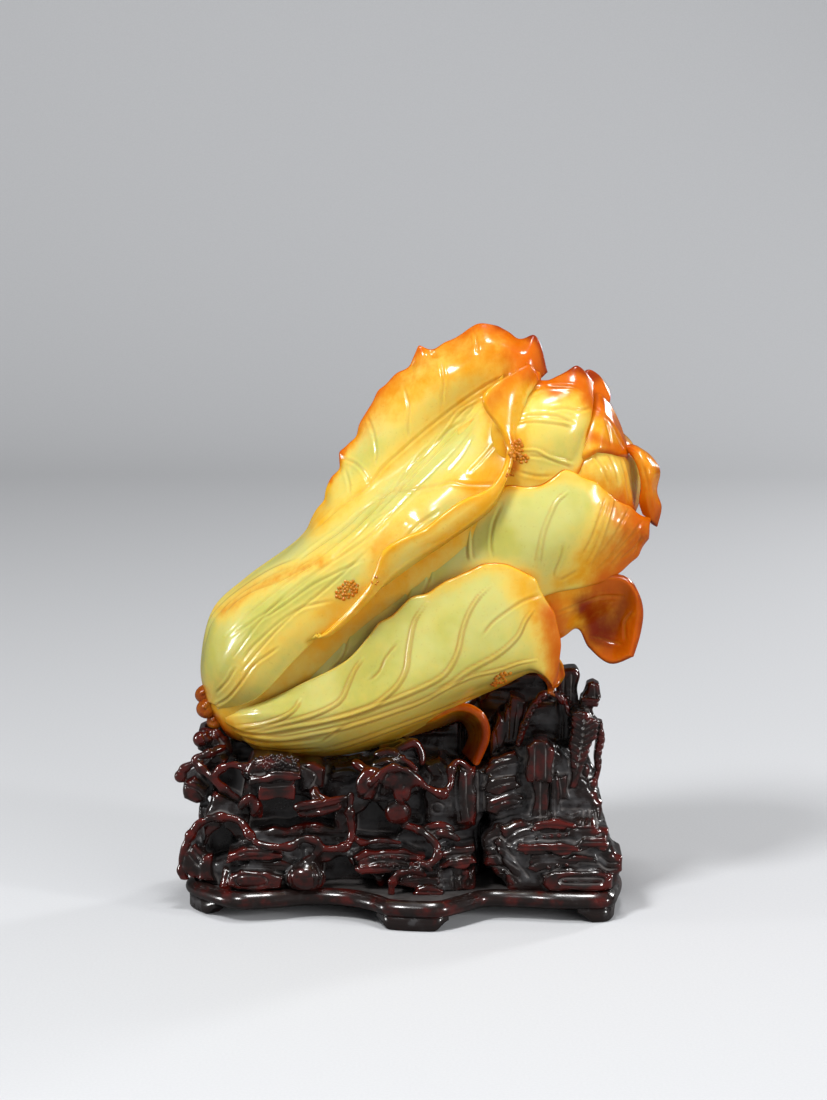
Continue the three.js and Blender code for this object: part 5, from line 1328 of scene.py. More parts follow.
# %% Vines, buds, gourd and fruit
# Radius, and the points of the line.
vines_pixels = [
    [3.6, 222,748,-24, 208,754,-34, 195,760,-38, 202,769,-42, 213,778,-48, 224,788,-50, 240,800,-48],
    [3.2, 179,777,-32, 184,769,-34, 193,764,-36, 201,762,-38],
    [3.2, 213,778,-48, 222,768,-50, 234,764,-54, 246,766,-60, 256,762,-66],
    [3.8, 186,888,-38, 181,872,-40, 183,854,-42, 190,836,-44, 202,822,-48, 220,817,-52, 240,821,-56,
     250,834,-64, 262,844,-72, 290,845,-78, 302,838,-78, 315,839,-76, 324,847,-74, 344,846,-72, 352,834,-68,
     350,812,-68, 351,794,-66],
    [2.4, 351,834,-68, 362,842,-64, 380,840,-64, 400,842,-66],
    [2.6, 316,840,-76, 318,850,-74, 308,860,-72],
    [3.4, 371,792,-74, 374,780,-82, 384,769,-86, 396,765,-87, 408,769,-85, 418,779,-80, 428,786,-79,
     441,791,-80, 450,783,-76, 451,768,-70, 458,760,-66, 470,769,-60],
    [3.4, 404,824,-66, 420,829,-74, 434,840,-82, 438,852,-86, 430,861,-88, 414,867,-88, 400,871,-86,
     393,880,-84, 391,894,-80],
    [2.4, 418,856,-86, 424,862,-91, 431,868,-88],
    [2.4, 412,862,-86, 418,868,-91, 425,873,-86],
    [3, 518,744,-44, 524,724,-46, 532,706,-44, 542,695,-40, 552,693,-36, 562,700,-32, 570,714,-30],
    [3.2, 236,872,88, 250,830,84, 278,800,86, 318,800,88, 352,818,92, 384,836,100, 424,822,104, 470,806,96,
     508,782,86, 546,756,82],
    [2.8, 278,800,86, 296,782,82, 324,774,78, 344,780,74],
    [2.8, 384,836,100, 376,856,102, 388,874,106, 380,892,104],
    [2.6, 470,806,96, 496,816,94, 514,832,96, 510,850,96],
]
# Centre, then radii across, down and in depth.
fruits_pixels = [
    [180, 777, -32, 6.5, 6.5, 6], [202, 740, -22, 10, 9, 9], [214, 736, -16, 8, 8, 8],
    [398, 811, -68, 13.5, 13, 11], [386, 755, -62, 7, 6, 6], [368, 769, -68, 6, 5.5, 6],
    [442, 792, -80, 7, 6, 6.5], [585, 771, -36, 5, 8, 5], [594, 799, -26, 8, 8.5, 8],
    [466, 838, 108, 13, 12, 8], [548, 752, 84, 11, 10, 9], [236, 874, 86, 9, 9, 8],
]
# Lobes of the broad leaf, which flow into one another.
lobes_pixels = [
    [367, 784, -73, 11, 14, 7], [374, 772, -76, 10, 7, 6], [391, 776, -80, 14, 11, 8],
    [402, 790, -78, 9, 12, 7], [410, 778, -78, 9, 8, 7], [384, 786, -74, 9, 8, 6],
]
# The same, with the number of ribs and their depth in millimetres.
gourds_pixels = [
    [305, 877, -68, 21, 15.5, 19, 15, 1.2], [300, 856, 106, 16, 14, 10, 9, 0.7],
]
knot_swell, neck_shares = [1.45, 1.3, 1.35], [0.42, 0.5, 0.4]
for width, *row in vines_pixels:
    line = points_of(row, 3)
    add_cord(line, width)
    for knot in line[1:-1:2]:
        add_ball(knot, [width * swell for swell in knot_swell], softness=1.5)
for row in fruits_pixels:
    add_ball(row[:3], row[3:])
for row in lobes_pixels:
    add_ball(row[:3], row[3:], softness=1.6)
for *row, ribs, rib_depth in gourds_pixels:
    (across, down, depth), radii = row[:3], np.array(row[3:])
    add_ball([across, down, depth], radii, ribs=ribs, rib_depth=rib_depth)
    add_ball([across + 3, down - 0.9 * radii[1], depth], radii * neck_shares, softness=3)

# The lines of the middle of the vine's leaves, and half their width in pixels.
leaf_half_width = 4.2
vine_leaves_pixels = [
    [356,762,-62, 364,768,-68, 370,776,-72], [378,754,-60, 390,751,-66, 402,757,-72, 416,768,-76],
    [394,752,-62, 404,746,-64, 414,742,-60, 421,752,-60, 422,762,-64],
    [376,764,-66, 388,760,-72, 402,762,-76], [298,806,-68, 312,803,-74, 330,800,-74, 346,796,-70],
    [302,812,-66, 320,810,-72, 340,805,-70], [314,788,-64, 318,796,-70, 330,799,-72],
    [242,806,-54, 250,798,-60, 258,804,-58, 260,816,-54], [426,828,-70, 440,824,-74, 452,828,-72],
    [430,838,-72, 444,832,-76, 458,838,-72], [251,799,-56, 256,806,-60, 254,814,-58],
    [594,783,-34, 588,788,-34, 580,784,-36],
]
for row in vine_leaves_pixels:
    add_cord(points_of(row, 3), leaf_half_width, softness=0.9, swell=0.0, end_share=0.45)
print("vines:", len(vines_pixels), "fruits:", len(fruits_pixels), "leaves:", len(vine_leaves_pixels))

# %% [markdown]
# Fine cuts finish the carving: strata on the ledges, ribs on the leaves, slots and creases. A groove adds
# to the distance along a line seen from the front, so it lies on whatever surface is there.

# %% Grooves and ridges
# Width in pixels, depth in millimetres (below zero a ridge), front and rear, and the lines.
cuts_pixels = [
    [1.3, 0.5, -90, -40, [
        [252,776, 276,772, 300,774], [262,785, 294,783], [232,856, 250,851, 280,852],
        [230,859, 252,856, 280,855], [248,864, 284,866], [240,866, 276,868],
        [236,878, 244,874, 262,875, 268,880, 262,885, 240,885, 236,878], [356,862, 376,854, 404,854, 422,857],
        [358,868, 380,867, 416,866], [440,848, 456,849, 472,848], [444,855, 462,853, 474,850],
        [446,862, 472,859], [448,865, 474,862], [400,880, 418,878, 436,880], [414,890, 440,891],
        [444,878, 464,876], [452,870, 453,888], [460,870, 461,888],
    ]],
    [1.4, 0.55, -100, -40, [
        [506,838, 520,828, 546,824, 576,827], [508,843, 530,834, 566,832], [516,846, 546,846, 578,847],
        [518,851, 548,850, 574,850], [582,840, 606,841], [580,846, 604,846], [574,828, 594,828],
        [532,858, 562,857, 594,859], [530,864, 546,860, 594,862], [546,872, 556,869, 600,870, 608,876],
        [600,856, 608,862, 618,862], [598,862, 606,868, 618,868],
    ]],
    [2.6, 1.1, -100, -50, [
        [560,879, 566,877, 596,877, 602,879, 596,882, 566,882, 560,879],
    ]],
    [1.2, 0.5, -70, -20, [
        [482,770, 496,760, 514,756], [484,776, 500,766, 520,762], [482,784, 498,776, 518,774],
        [484,790, 502,784, 518,780], [488,800, 504,794, 520,792], [490,807, 506,800, 520,800],
        [500,812, 512,806, 522,806], [478,772, 478,812], [484,770, 484,812], [534,744, 534,780],
        [545,744, 545,780], [540,780, 540,816], [555,778, 555,816], [509,704, 508,740], [518,704, 514,738],
        [494,728, 498,752], [564,676, 563,738], [572,674, 571,712], [582,702, 599,702], [571,710, 594,710],
        [587,686, 586,697], [595,684, 595,697],
    ]],
    [1.1, 0.5, -70, -20, [
        [584,712, 582,738, 576,774], [584,722, 592,716], [584,728, 595,721], [583,734, 597,727],
        [582,740, 597,733], [581,746, 595,740], [580,752, 592,747], [579,758, 589,754], [577,765, 585,762],
        [584,720, 572,714], [583,727, 571,720], [583,734, 571,727], [582,741, 571,734], [581,748, 571,742],
        [579,755, 571,750], [577,763, 572,759], [575,770, 572,768], [598,728, 604,730], [598,735, 604,737],
        [598,742, 604,744], [598,749, 604,751], [597,756, 603,758], [596,763, 601,765], [595,770, 599,772],
    ]],
    [1.2, 0.5, -100, -40, [
        [379,778, 379,790, 376,797], [377,780, 370,788, 362,796], [388,772, 382,782, 378,792],
        [404,784, 401,793, 405,800], [376,760, 390,757, 404,764], [398,754, 408,748, 416,748],
        [406,756, 416,758], [424,766, 430,776, 426,788], [436,764, 444,774], [458,768, 456,790, 460,820],
        [466,772, 466,800, 470,822], [432,804, 438,802, 444,806, 440,812, 433,811, 432,804],
        [302,806, 320,803, 342,798], [306,812, 324,808, 338,806], [316,790, 324,798],
    ]],
    [1.6, 0.6, -70, -10, [
        [488,840, 500,836, 510,844], [486,848, 498,846, 514,856], [486,856, 500,856, 518,868],
        [490,866, 504,868, 520,880], [500,832, 508,850, 528,876], [492,842, 502,862, 516,882],
        [584,812, 582,824], [590,811, 589,824], [596,813, 597,826], [186,786, 198,792, 204,800],
        [190,780, 204,788], [200,812, 206,820], [188,856, 196,866], [192,850, 202,862], [202,732, 206,744],
        [212,730, 222,744], [206,738, 212,734], [304,766, 316,774, 312,786], [334,770, 350,768, 360,772],
    ]],
]
for width, deep, front, rear, lines in cuts_pixels:
    for line in lines:
        cut_line(line, width, deep, (front, rear))
print("cuts:", sum(len(row[-1]) for row in cuts_pixels))

# %% [markdown]
# ## The seat, the plinth and the seams
# The stone must lift straight out of its seat. For each place on the plan, the lowest point of the stone
# above it is kept, and the wood stays a little under that. The rocks also stay off the rim of the plinth,
# whose outline is the closed curve of the CAD source.

# %% Room under the stone
seat_gap = 0.35 * millimetre
underside = np.full(counts[:2], np.inf)
for piece in jade_pieces.values():
    points = points_in(piece.data)
    spot = np.rint((points[:, :2] - field_low[:2]) / cell).astype(int)
    held = ((spot >= 0) & (spot < counts[:2])).all(1)
    np.minimum.at(underside, tuple(spot[held].T), points[held, 2])
for _ in range(2):
    wider = np.pad(underside, 1, constant_values=np.inf)
    shifted = [wider[i:i + counts[0], j:j + counts[1]] for i in range(3) for j in range(3)]
    underside = np.minimum.reduce(shifted)
room = (cell_z - (underside - seat_gap)[..., None]) / millimetre
field = np.maximum(field, np.where(np.isfinite(room), room, -empty)).astype(np.float32)
print("lowest point of the stone, mm:", round(float(underside.min() * 1000), 1))

# %% Outline of the plinth
plinth_length, plinth_depth, plinth_thickness = 177.0, 100.0, 6.8
rim_width, rim_height, foot_height, foot_inset, foot_wall = 5.2, 1.3, 5.2, 1.6, 7.0
plinth_top = foot_height + plinth_thickness
floor_height = plinth_top - rim_height
seam_gap = 0.35
plinth_outline_shares = [
    [0.47,0.4, 0.5,0.28, 0.485,0.12, 0.5,-0.04, 0.49,-0.22, 0.465,-0.36, 0.35,-0.37, 0.27,-0.345, 0.19,-0.34,
     0.14,-0.42, 0.085,-0.5, 0.02,-0.5, -0.04,-0.47, -0.08,-0.39, -0.13,-0.33, -0.21,-0.31, -0.3,-0.36,
     -0.38,-0.37, -0.45,-0.26, -0.495,-0.12, -0.485,0.02, -0.5,0.16, -0.48,0.32, -0.42,0.42, -0.33,0.4,
     -0.24,0.42, -0.14,0.5, -0.04,0.47, 0.04,0.43, 0.12,0.45, 0.2,0.5, 0.3,0.46, 0.38,0.44],
]
corners = points_of(plinth_outline_shares) * [plinth_length, plinth_depth]


def centripetal(points, places):
    """Points of a closed curve with knots spaced by the root of the distance, as the CAD source draws it."""
    row = np.floor(places).astype(int)
    part = (places - row)[:, None]
    before, start, end, beyond = (points[(row + step) % len(points)] for step in (-1, 0, 1, 2))
    spans = ((before, start), (start, end), (end, beyond))
    gaps = [np.linalg.norm(b - a, axis=1, keepdims=True) ** 0.5 for a, b in spans]
    leave = (start - before) / gaps[0] - (end - before) / (gaps[0] + gaps[1]) + (end - start) / gaps[1]
    reach = (end - start) / gaps[1] - (beyond - start) / (gaps[1] + gaps[2]) + (beyond - end) / gaps[2]
    leave, reach = leave * gaps[1], reach * gaps[1]
    bend = -3 * start + 3 * end - 2 * leave - reach
    return start + part * (leave + part * (bend + part * (2 * start - 2 * end + leave + reach)))


plinth_steps, course_reach = 6600, 0.6
plinth_closed = centripetal(corners, np.linspace(0, len(corners), plinth_steps + 1)[:-1])
plinth_closed = np.vstack([plinth_closed, plinth_closed[:1]])
plinth_run = run_along(plinth_closed)


def outline_ring(inset, shares):
    """Points at shares of the way round the outline, drawn in by an inset, in millimetres."""
    stops = (np.asarray(shares) % 1) * plinth_run[-1]
    further = (stops + course_reach) % plinth_run[-1]
    ring, ahead = (np.stack([np.interp(at, plinth_run, plinth_closed[:, axis]) for axis in range(2)], 1)
                   for at in (stops, further))
    course = ahead - ring
    course /= np.linalg.norm(course, axis=1, keepdims=True)
    return ring + inset * np.stack([course[:, 1], -course[:, 0]], 1)


def in_room(ring, height):
    """Metres of a ring given in millimetres of the plan."""
    heights = np.broadcast_to(height, len(ring))
    return np.stack([ring[:, 0] * millimetre + shift_across, ring[:, 1] * millimetre + shift_back,
                     heights * millimetre], 1)


inner_edge = in_room(outline_ring(rim_width + seam_gap, np.linspace(0, 1, 181)[:-1]), 0)[:, :2]
plan = np.stack(np.meshgrid(cell_x, cell_y, indexing="ij"), -1)
plan_distance = outline_distance(plan, inner_edge) / millimetre
lowest = np.where(plan_distance < 0, floor_height, plinth_top + seam_gap)
field = np.maximum(field, (lowest[..., None] - cell_z / millimetre)).astype(np.float32)
print("way round the plinth, mm:", round(float(plinth_run[-1]), 1))

# %% [markdown]
# ## One skin for each block
# The skin is drawn with surface nets: each cell that the surface passes through gets one point, at the
# average of where its edges are crossed, and each crossed edge gets one face between the four cells
# around it. Blurred copies of the field tell the finish which points are raised edges that hands have
# polished, whose red is partly painted sheen, and which are hollows where dust has settled. The two
# largest blocks are thinned to the limit on a piece.

# %% Surface nets
cell_corners = np.array([[i, j, k] for i in (0, 1) for j in (0, 1) for k in (0, 1)])
cell_edges = [(a, b) for a in range(8) for b in range(a + 1, 8)
              if np.abs(cell_corners[a] - cell_corners[b]).sum() == 1]


def skin_of(values, mine, low):
    """Points and quads around the cells that are wood and mine. Two blocks that meet on the surface get the
    same points, so that a glued seam doesn't show. At a seam inside the wood the points lie halfway."""
    inside = (values < 0) & mine
    shape = np.array(values.shape) - 1
    filled = np.zeros(shape, np.int8)
    for i, j, k in cell_corners:
        filled += inside[i:i + shape[0], j:j + shape[1], k:k + shape[2]]
    cells = np.argwhere((filled > 0) & (filled < 8))
    number = np.full(shape, -1, np.int64)
    number[tuple(cells.T)] = np.arange(len(cells))
    held = np.stack([values[tuple((cells + corner).T)] for corner in cell_corners], 1)
    owned = np.stack([inside[tuple((cells + corner).T)] for corner in cell_corners], 1)
    sums = np.zeros((2, len(cells), 3))
    crossed = np.zeros((2, len(cells), 1))
    for a, b in cell_edges:
        air = ((held[:, a] < 0) != (held[:, b] < 0))[:, None]
        seam = (owned[:, a] != owned[:, b])[:, None]
        part = np.where(air, (held[:, a] / np.where(air[:, 0], held[:, a] - held[:, b], 1))[:, None], 0.5)
        place = cell_corners[a] + part * (cell_corners[b] - cell_corners[a])
        for kind, holds in enumerate((air, seam)):
            sums[kind] += holds * place
            crossed[kind] += holds
    kind = (crossed[0] == 0).astype(int)[:, 0]
    rows = np.arange(len(cells))
    points = low + (cells + sums[kind, rows] / crossed[kind, rows]) * cell
    quads = []
    for axis in range(3):
        other = [(axis + 1) % 3, (axis + 2) % 3]
        one, two = np.eye(3, dtype=int)[other]
        cut, ahead = [slice(None)] * 3, [slice(None)] * 3
        cut[axis], ahead[axis] = slice(0, -1), slice(1, None)
        edges = np.argwhere(inside[tuple(cut)] != inside[tuple(ahead)])
        edges = edges[(edges[:, other] > 0).all(1) & (edges[:, other] < shape[other]).all(1)]
        ring = [edges - one - two, edges - two, edges, edges - one]
        quad = np.stack([number[tuple(at.T)] for at in ring], 1)
        leaving = inside[tuple(edges.T)]
        quads.append(np.where(leaving[:, None], quad, quad[:, ::-1]))
    return points, np.concatenate(quads)


def largest_part(points, quads):
    """The largest unbroken skin, which leaves out loose crumbs."""
    label = np.arange(len(points))
    while True:
        lowest_label = label[quads].min(1)
        fresh = label.copy()
        np.minimum.at(fresh, quads.ravel(), np.repeat(lowest_label, 4))
        fresh = fresh[fresh]
        if (fresh == label).all():
            break
        label = fresh
    names, sizes = np.unique(label, return_counts=True)
    kept = label == names[sizes.argmax()]
    renumbered = np.cumsum(kept) - 1
    return points[kept], renumbered[quads[kept[quads].all(1)]]


def box_blur(values, reach):
    """Average over a cube of cells."""
    for axis in range(3):
        padded = np.pad(values, [(reach + 1, reach) if a == axis else (0, 0) for a in range(3)], mode="edge")
        summed = np.cumsum(padded, axis=axis, dtype=np.float32)
        ahead, behind = [slice(None)] * 3, [slice(None)] * 3
        ahead[axis], behind[axis] = slice(2 * reach + 1, None), slice(0, -2 * reach - 1)
        values = (summed[tuple(ahead)] - summed[tuple(behind)]) / (2 * reach + 1)
    return values


def read_at(values, points):
    """Values at points, each weighted by how near the eight cells around the point are."""
    place = (points - field_low) / cell
    first = np.clip(np.floor(place).astype(int), 0, np.array(values.shape) - 2)
    part = np.clip(place - first, 0, 1)
    total = np.zeros(len(points))
    for corner in cell_corners:
        total += np.prod(np.where(corner, part, 1 - part), 1) * values[tuple((first + corner).T)]
    return total


def outward(points):
    """Normals from the slope of the field, smoother than those of the faces. None at a seam in the wood."""
    steps = np.eye(3) * 0.5 * cell
    slope = np.stack([read_at(field, points + step) - read_at(field, points - step) for step in steps], 1)
    slope /= np.linalg.norm(slope, axis=1, keepdims=True) + 1e-9
    return np.where(np.abs(read_at(field, points))[:, None] < 0.2, slope, 0)


clipped = np.clip(field, -2.5, 2.5)
edge_share, form_share, hollow_share = box_blur(clipped, 2), box_blur(clipped, 6), box_blur(clipped, 14)
print("blurred fields ready")

# %% [markdown]
# ## The wood
# The stand is dense dark hardwood under old lacquer: almost black in the hollows, and dull grey where no
# hand reaches. Round forms and edges get a deep red with a sharp gloss. The red is partly lacquer rubbed by
# hands and partly painted sheen, the red glow of lit lacquer. Old wax left a pale line in the creases. A
# fine grain runs along it.

# %% Wood material
pale_wax = (0.15, 0.135, 0.13)


def wood_finish(name, kept=True, grain=(60.0, 900.0, 900.0), dark=(0.011, 0.006, 0.0052),
                red=(0.085, 0.0028, 0.0006), dust=(0.055, 0.053, 0.055)):
    finish = Finish(name)
    streaks = finish.noise(1.0, 4.0, 0.6, finish.place(grain))
    blotches = finish.noise(120.0, 3.0, 0.6)
    if kept:
        raised, open_air, crease = (finish.kept(each) for each in ("raised", "open_air", "crease"))
    else:
        raised, open_air, crease = blotches, finish.noise(40.0, 2.0, 0.5), blotches * 0.0
    # Red on raised and open forms: partly worn lacquer, partly painted sheen where lit lacquer glows red.
    wear_and_sheen = raised * 0.45 + open_air * 0.75 + (blotches - 0.5) * 2.6 + (streaks - 0.5) * 0.4
    red_share = wear_and_sheen.between(0.62, 1.5)
    dust_share = (0.55 - wear_and_sheen + (finish.noise(300.0, 3.0, 0.6) - 0.5) * 0.5).between(0.1, 0.9)
    colour = finish.mix(dust_share, dark, dust)
    colour = finish.mix(red_share * (0.55 + streaks * 0.7), colour, red)
    wax_share = (crease + (finish.noise(500.0, 2.0, 0.5) - 0.5) * 0.5).between(0.3, 0.9)
    colour = finish.mix(wax_share * 0.65, colour, pale_wax)
    gloss = 0.22 - red_share * 0.08 + wax_share * 0.3 + dust_share * 0.16
    height = streaks * 0.5 + finish.noise(420.0, 3.0, 0.6) * 0.5
    bumps = finish.bump(height, 0.12, 0.0003)
    coat = 0.35 + red_share * 0.65 - wax_share * 0.3
    return finish.finish(Base_Color=colour, Roughness=gloss, Coat_Weight=coat, Normal=bumps,
                         Specular_IOR_Level=0.5, Coat_Roughness=0.06)


dark_wood = wood_finish("hardwood_with_painted_sheen")
print("wood nodes:", len(dark_wood.node_tree.nodes))

# %% Blocks between their seams
# Seams: two across, one in depth, and the one under the tower down, at a depth of its own.
seams_pixels = {"left": 281, "right": 483, "back": 22, "tower": 821, "tower_depth": -40}
left_seam, right_seam = (placed([seams_pixels[side], 0, 0])[0] for side in ("left", "right"))
back_seam = seams_pixels["back"] * pixel + shift_back
tower_seam = placed([0, seams_pixels["tower"], seams_pixels["tower_depth"]])[2]
far = 1.0
block_reach = {
    "left_rock_block": [[-far, -far, 0], [left_seam, back_seam, far]],
    "centre_rock_block": [[left_seam, -far, 0], [right_seam, back_seam, far]],
    "ledge_block": [[right_seam, -far, 0], [far, back_seam, tower_seam]],
    "tower_block": [[right_seam, -far, tower_seam], [far, back_seam, far]],
    "back_rock_block": [[-far, back_seam, 0], [far, far, far]],
}
piece_limit = 190_000


def thinned(made):
    """Points of a block, after taking faces away where its skin is flattest, down to the limit on a piece."""
    triangles = 2 * len(made.data.polygons)
    if triangles > piece_limit:
        modifier = made.modifiers.new("Thinned", "DECIMATE")
        modifier.ratio = piece_limit / triangles
        depsgraph = bpy.context.evaluated_depsgraph_get()
        mesh = bpy.data.meshes.new_from_object(made.evaluated_get(depsgraph))
        made.modifiers.clear()
        made.data = mesh
    return points_in(made.data)


# Blurred distances, in millimetres, at which an edge or a form is fully rubbed red, with painted sheen, and a
# crease is fully waxed.
edge_wear_and_sheen, form_wear_and_sheen, crease_wear = 0.35, 0.9, 0.3
sharp_from = math.radians(75)
wood_pieces = {}
for node_name, (low_corner, high_corner) in block_reach.items():
    first = np.maximum(np.floor((np.array(low_corner) - field_low) / cell).astype(int) - 2, 0)
    last = np.minimum(np.ceil((np.array(high_corner) - field_low) / cell).astype(int) + 3, counts)
    part = tuple(slice(a, b) for a, b in zip(first, last))
    mine = np.ones([piece.stop - piece.start for piece in part], bool)
    for axis, places in enumerate((cell_x, cell_y, cell_z)):
        here = places[part[axis]].reshape([-1 if a == axis else 1 for a in range(3)])
        mine &= (here > low_corner[axis]) & (here <= high_corner[axis])
    values = np.pad(field[part], 1, constant_values=empty)
    points, quads = largest_part(*skin_of(values, np.pad(mine, 1), field_low + (first - 1) * cell))
    made = mesh_object("carved_" + node_name, points, [quads])
    points = thinned(made)
    wear = read_at(edge_share, points)
    form = read_at(form_share, points)
    # Raised and open forms turn red, partly worn lacquer and partly painted sheen; creases take pale wax.
    put_values(made, "raised", np.clip(0.25 * wear / edge_wear_and_sheen + 0.75 * form / form_wear_and_sheen, 0, 1))
    put_values(made, "crease", np.clip(-wear / crease_wear, 0, 1))
    put_values(made, "open_air", np.clip(0.1 + read_at(hollow_share, points), 0, 1))
    made.data.set_sharp_from_angle(angle=sharp_from)
    made.data.normals_split_custom_set_from_vertices(outward(points))
    give(made, dark_wood)
    wood_pieces[node_name] = made
    made.data.calc_loop_triangles()
    print(made.name, len(points), "points", len(made.data.loop_triangles), "triangles")

# %% [markdown]
# ## Plinth and feet
# The plinth is a board with a half-round moulded rim and a sunk floor. Its smoothed section is swept
# round the outline: each ring of points is the outline drawn in by some millimetres at some height.

# %% Plinth board
rim_section_shares = [
    [0.5, 0], [0.12, 0.2], [0, 0.45], [0.1, 0.72], [0.42, 0.96], [0.62, 1], [0.86, 1],
]
ring_points = 720
ring_shares = np.arange(ring_points) / ring_points
section = smooth_rows(rim_section_shares, np.linspace(0, len(rim_section_shares) - 1, 37))
section = section * [rim_width, plinth_thickness] + [0, foot_height]
section[:, 0] = np.maximum(section[:, 0], 0)
section[:, 1] = np.clip(section[:, 1], foot_height, plinth_top)
inner_lip = [[0.93 * rim_width, plinth_top - 0.1], [0.98 * rim_width, plinth_top - 0.35],
             [rim_width, floor_height + 0.3], [rim_width + 0.3, floor_height]]
section = np.concatenate([section, inner_lip])
rings = [in_room(outline_ring(inset, ring_shares), height) for inset, height in section]
centre_low = in_room(np.zeros((1, 2)), foot_height)[0]
centre_high = in_room(np.zeros((1, 2)), floor_height)[0]
points, faces = swept(rings, centre_low, centre_high)
plinth = mesh_object("moulded_plinth", points, faces)
height_share = (points[:, 2] / millimetre - foot_height) / plinth_thickness
rim_face = np.concatenate([np.repeat(np.linspace(0, 1, len(section)), ring_points), [0, 1]])
on_rim = rim_face < 0.92
# The rim's red is partly worn lacquer and partly painted sheen.
put_values(plinth, "raised", np.where(on_rim, 0.9 - 0.3 * soft_step(height_share, 0.4, 0.9), 0))
put_values(plinth, "open_air", np.where(on_rim, 0.55, 0))
put_values(plinth, "crease", np.where(rim_face > 0.93, 0.7, 0.3))
give(plinth, dark_wood)
wood_pieces["plinth_board"] = plinth
print("plinth points:", len(points))

# %% Bracket feet
foot_stretch_shares = {
    "front_right_foot": [0.125, 0.185],
    "front_centre_foot": [0.297, 0.367],
    "front_left_foot": [0.51, 0.575],
    "rear_left_foot": [0.68, 0.735],
    "rear_right_foot": [0.965, 1.02],
}
foot_steps, foot_columns = 60, 16
foot_flare, foot_root, foot_wear, wear_from, wear_run = 0.45, 1.6, 0.8, 0.72, 0.28
foot_rims = [0, -1, (slice(None), 0), (slice(None), -1)]
turned = [1, 0, 3, 2]
for node_name, (start, end) in foot_stretch_shares.items():
    share = np.linspace(0, 1, foot_steps + 1)
    stretch = start + (end - start) * share
    drop = soft_step(1 - np.abs(2 * share - 1), 0, foot_flare)
    depth = foot_height * (0.25 + 0.75 * drop)
    insets = foot_inset + foot_wall * np.linspace(0, 1, foot_columns)
    top = np.stack([in_room(outline_ring(inset, stretch), foot_height + foot_root) for inset in insets], 1)
    across_foot = np.abs(2 * np.linspace(0, 1, foot_columns) - 1)
    worn = foot_wear * np.clip((across_foot - wear_from) / wear_run, 0, 1) ** 2
    low = np.stack([
        in_room(outline_ring(inset, stretch), foot_height - depth + wear * np.clip(depth / foot_height, 0, 1))
        for inset, wear in zip(insets, worn)
    ], 1)
    rows, columns = top.shape[:2]
    points = np.concatenate([top.reshape(-1, 3), low.reshape(-1, 3)])
    upper = np.arange(rows * columns).reshape(rows, columns)
    lower = upper + rows * columns
    walls = [grid_faces(np.stack([upper[rim], lower[rim]])) for rim in foot_rims]
    faces = [grid_faces(upper), grid_faces(lower)[:, inside_out],
             walls[0][:, turned], walls[1], walls[2], walls[3][:, turned]]
    made = mesh_object("carved_" + node_name, points, faces)
    # The feet get some of the red, partly worn lacquer and partly painted sheen.
    for kept_name, value in (("raised", 0.4), ("open_air", 0.35), ("crease", 0.0)):
        put_values(made, kept_name, np.full(len(points), value))
    give(made, dark_wood)
    wood_pieces[node_name] = made
print("feet:", len(foot_stretch_shares))

# %% [markdown]
# ## Beads and grains
# Small round grains were left standing in clusters on the stone and on the rocks. Geometry Nodes put a
# small ball on each spot of a cluster. Rays from the camera's side find the surface under each spot, so
# the grains sit on whatever is there.

# %% Nodes that set grains on points
def grain_tree():
    tree = bpy.data.node_groups.new("grains_on_points", "GeometryNodeTree")
    sockets = {}
    for name, way, kind in (("Spots", "INPUT", "Geometry"), ("Grain size", "INPUT", "Float"),
                            ("Finish", "INPUT", "Material"), ("Grains", "OUTPUT", "Geometry")):
        sockets[name] = tree.interface.new_socket(name, in_out=way, socket_type="NodeSocket" + kind)
    given, handed, ball, size, scale, put, real, smooth, dress = (tree.nodes.new(kind) for kind in (
        "NodeGroupInput", "NodeGroupOutput", "GeometryNodeMeshIcoSphere", "GeometryNodeInputNamedAttribute",
        "ShaderNodeMath", "GeometryNodeInstanceOnPoints", "GeometryNodeRealizeInstances",
        "GeometryNodeSetShadeSmooth", "GeometryNodeSetMaterial"))
    ball.inputs["Subdivisions"].default_value, ball.inputs["Radius"].default_value = 2, 1.0
    size.data_type, scale.operation = "FLOAT", "MULTIPLY"
    size.inputs["Name"].default_value = "size"
    for source, output, target, entry in (
        (given, "Spots", put, "Points"), (ball, "Mesh", put, "Instance"), (size, "Attribute", scale, 0),
        (given, "Grain size", scale, 1), (scale, 0, put, "Scale"), (put, "Instances", real, "Geometry"),
        (real, "Geometry", smooth, 0), (smooth, 0, dress, "Geometry"), (given, "Finish", dress, "Material"),
        (dress, "Geometry", handed, "Grains"),
    ):
        tree.links.new(source.outputs[output], target.inputs[entry])
    return tree, sockets["Grain size"].identifier, sockets["Finish"].identifier


grains_on_points, size_identifier, finish_identifier = grain_tree()


def surface_of(pieces):
    """One search tree over the faces of some objects."""
    points, polygons = [], []
    for piece in pieces:
        start = len(points)
        points += [vertex.co.copy() for vertex in piece.data.vertices]
        polygons += [[start + index for index in face.vertices] for face in piece.data.polygons]
    return BVHTree.FromPolygons(points, polygons)


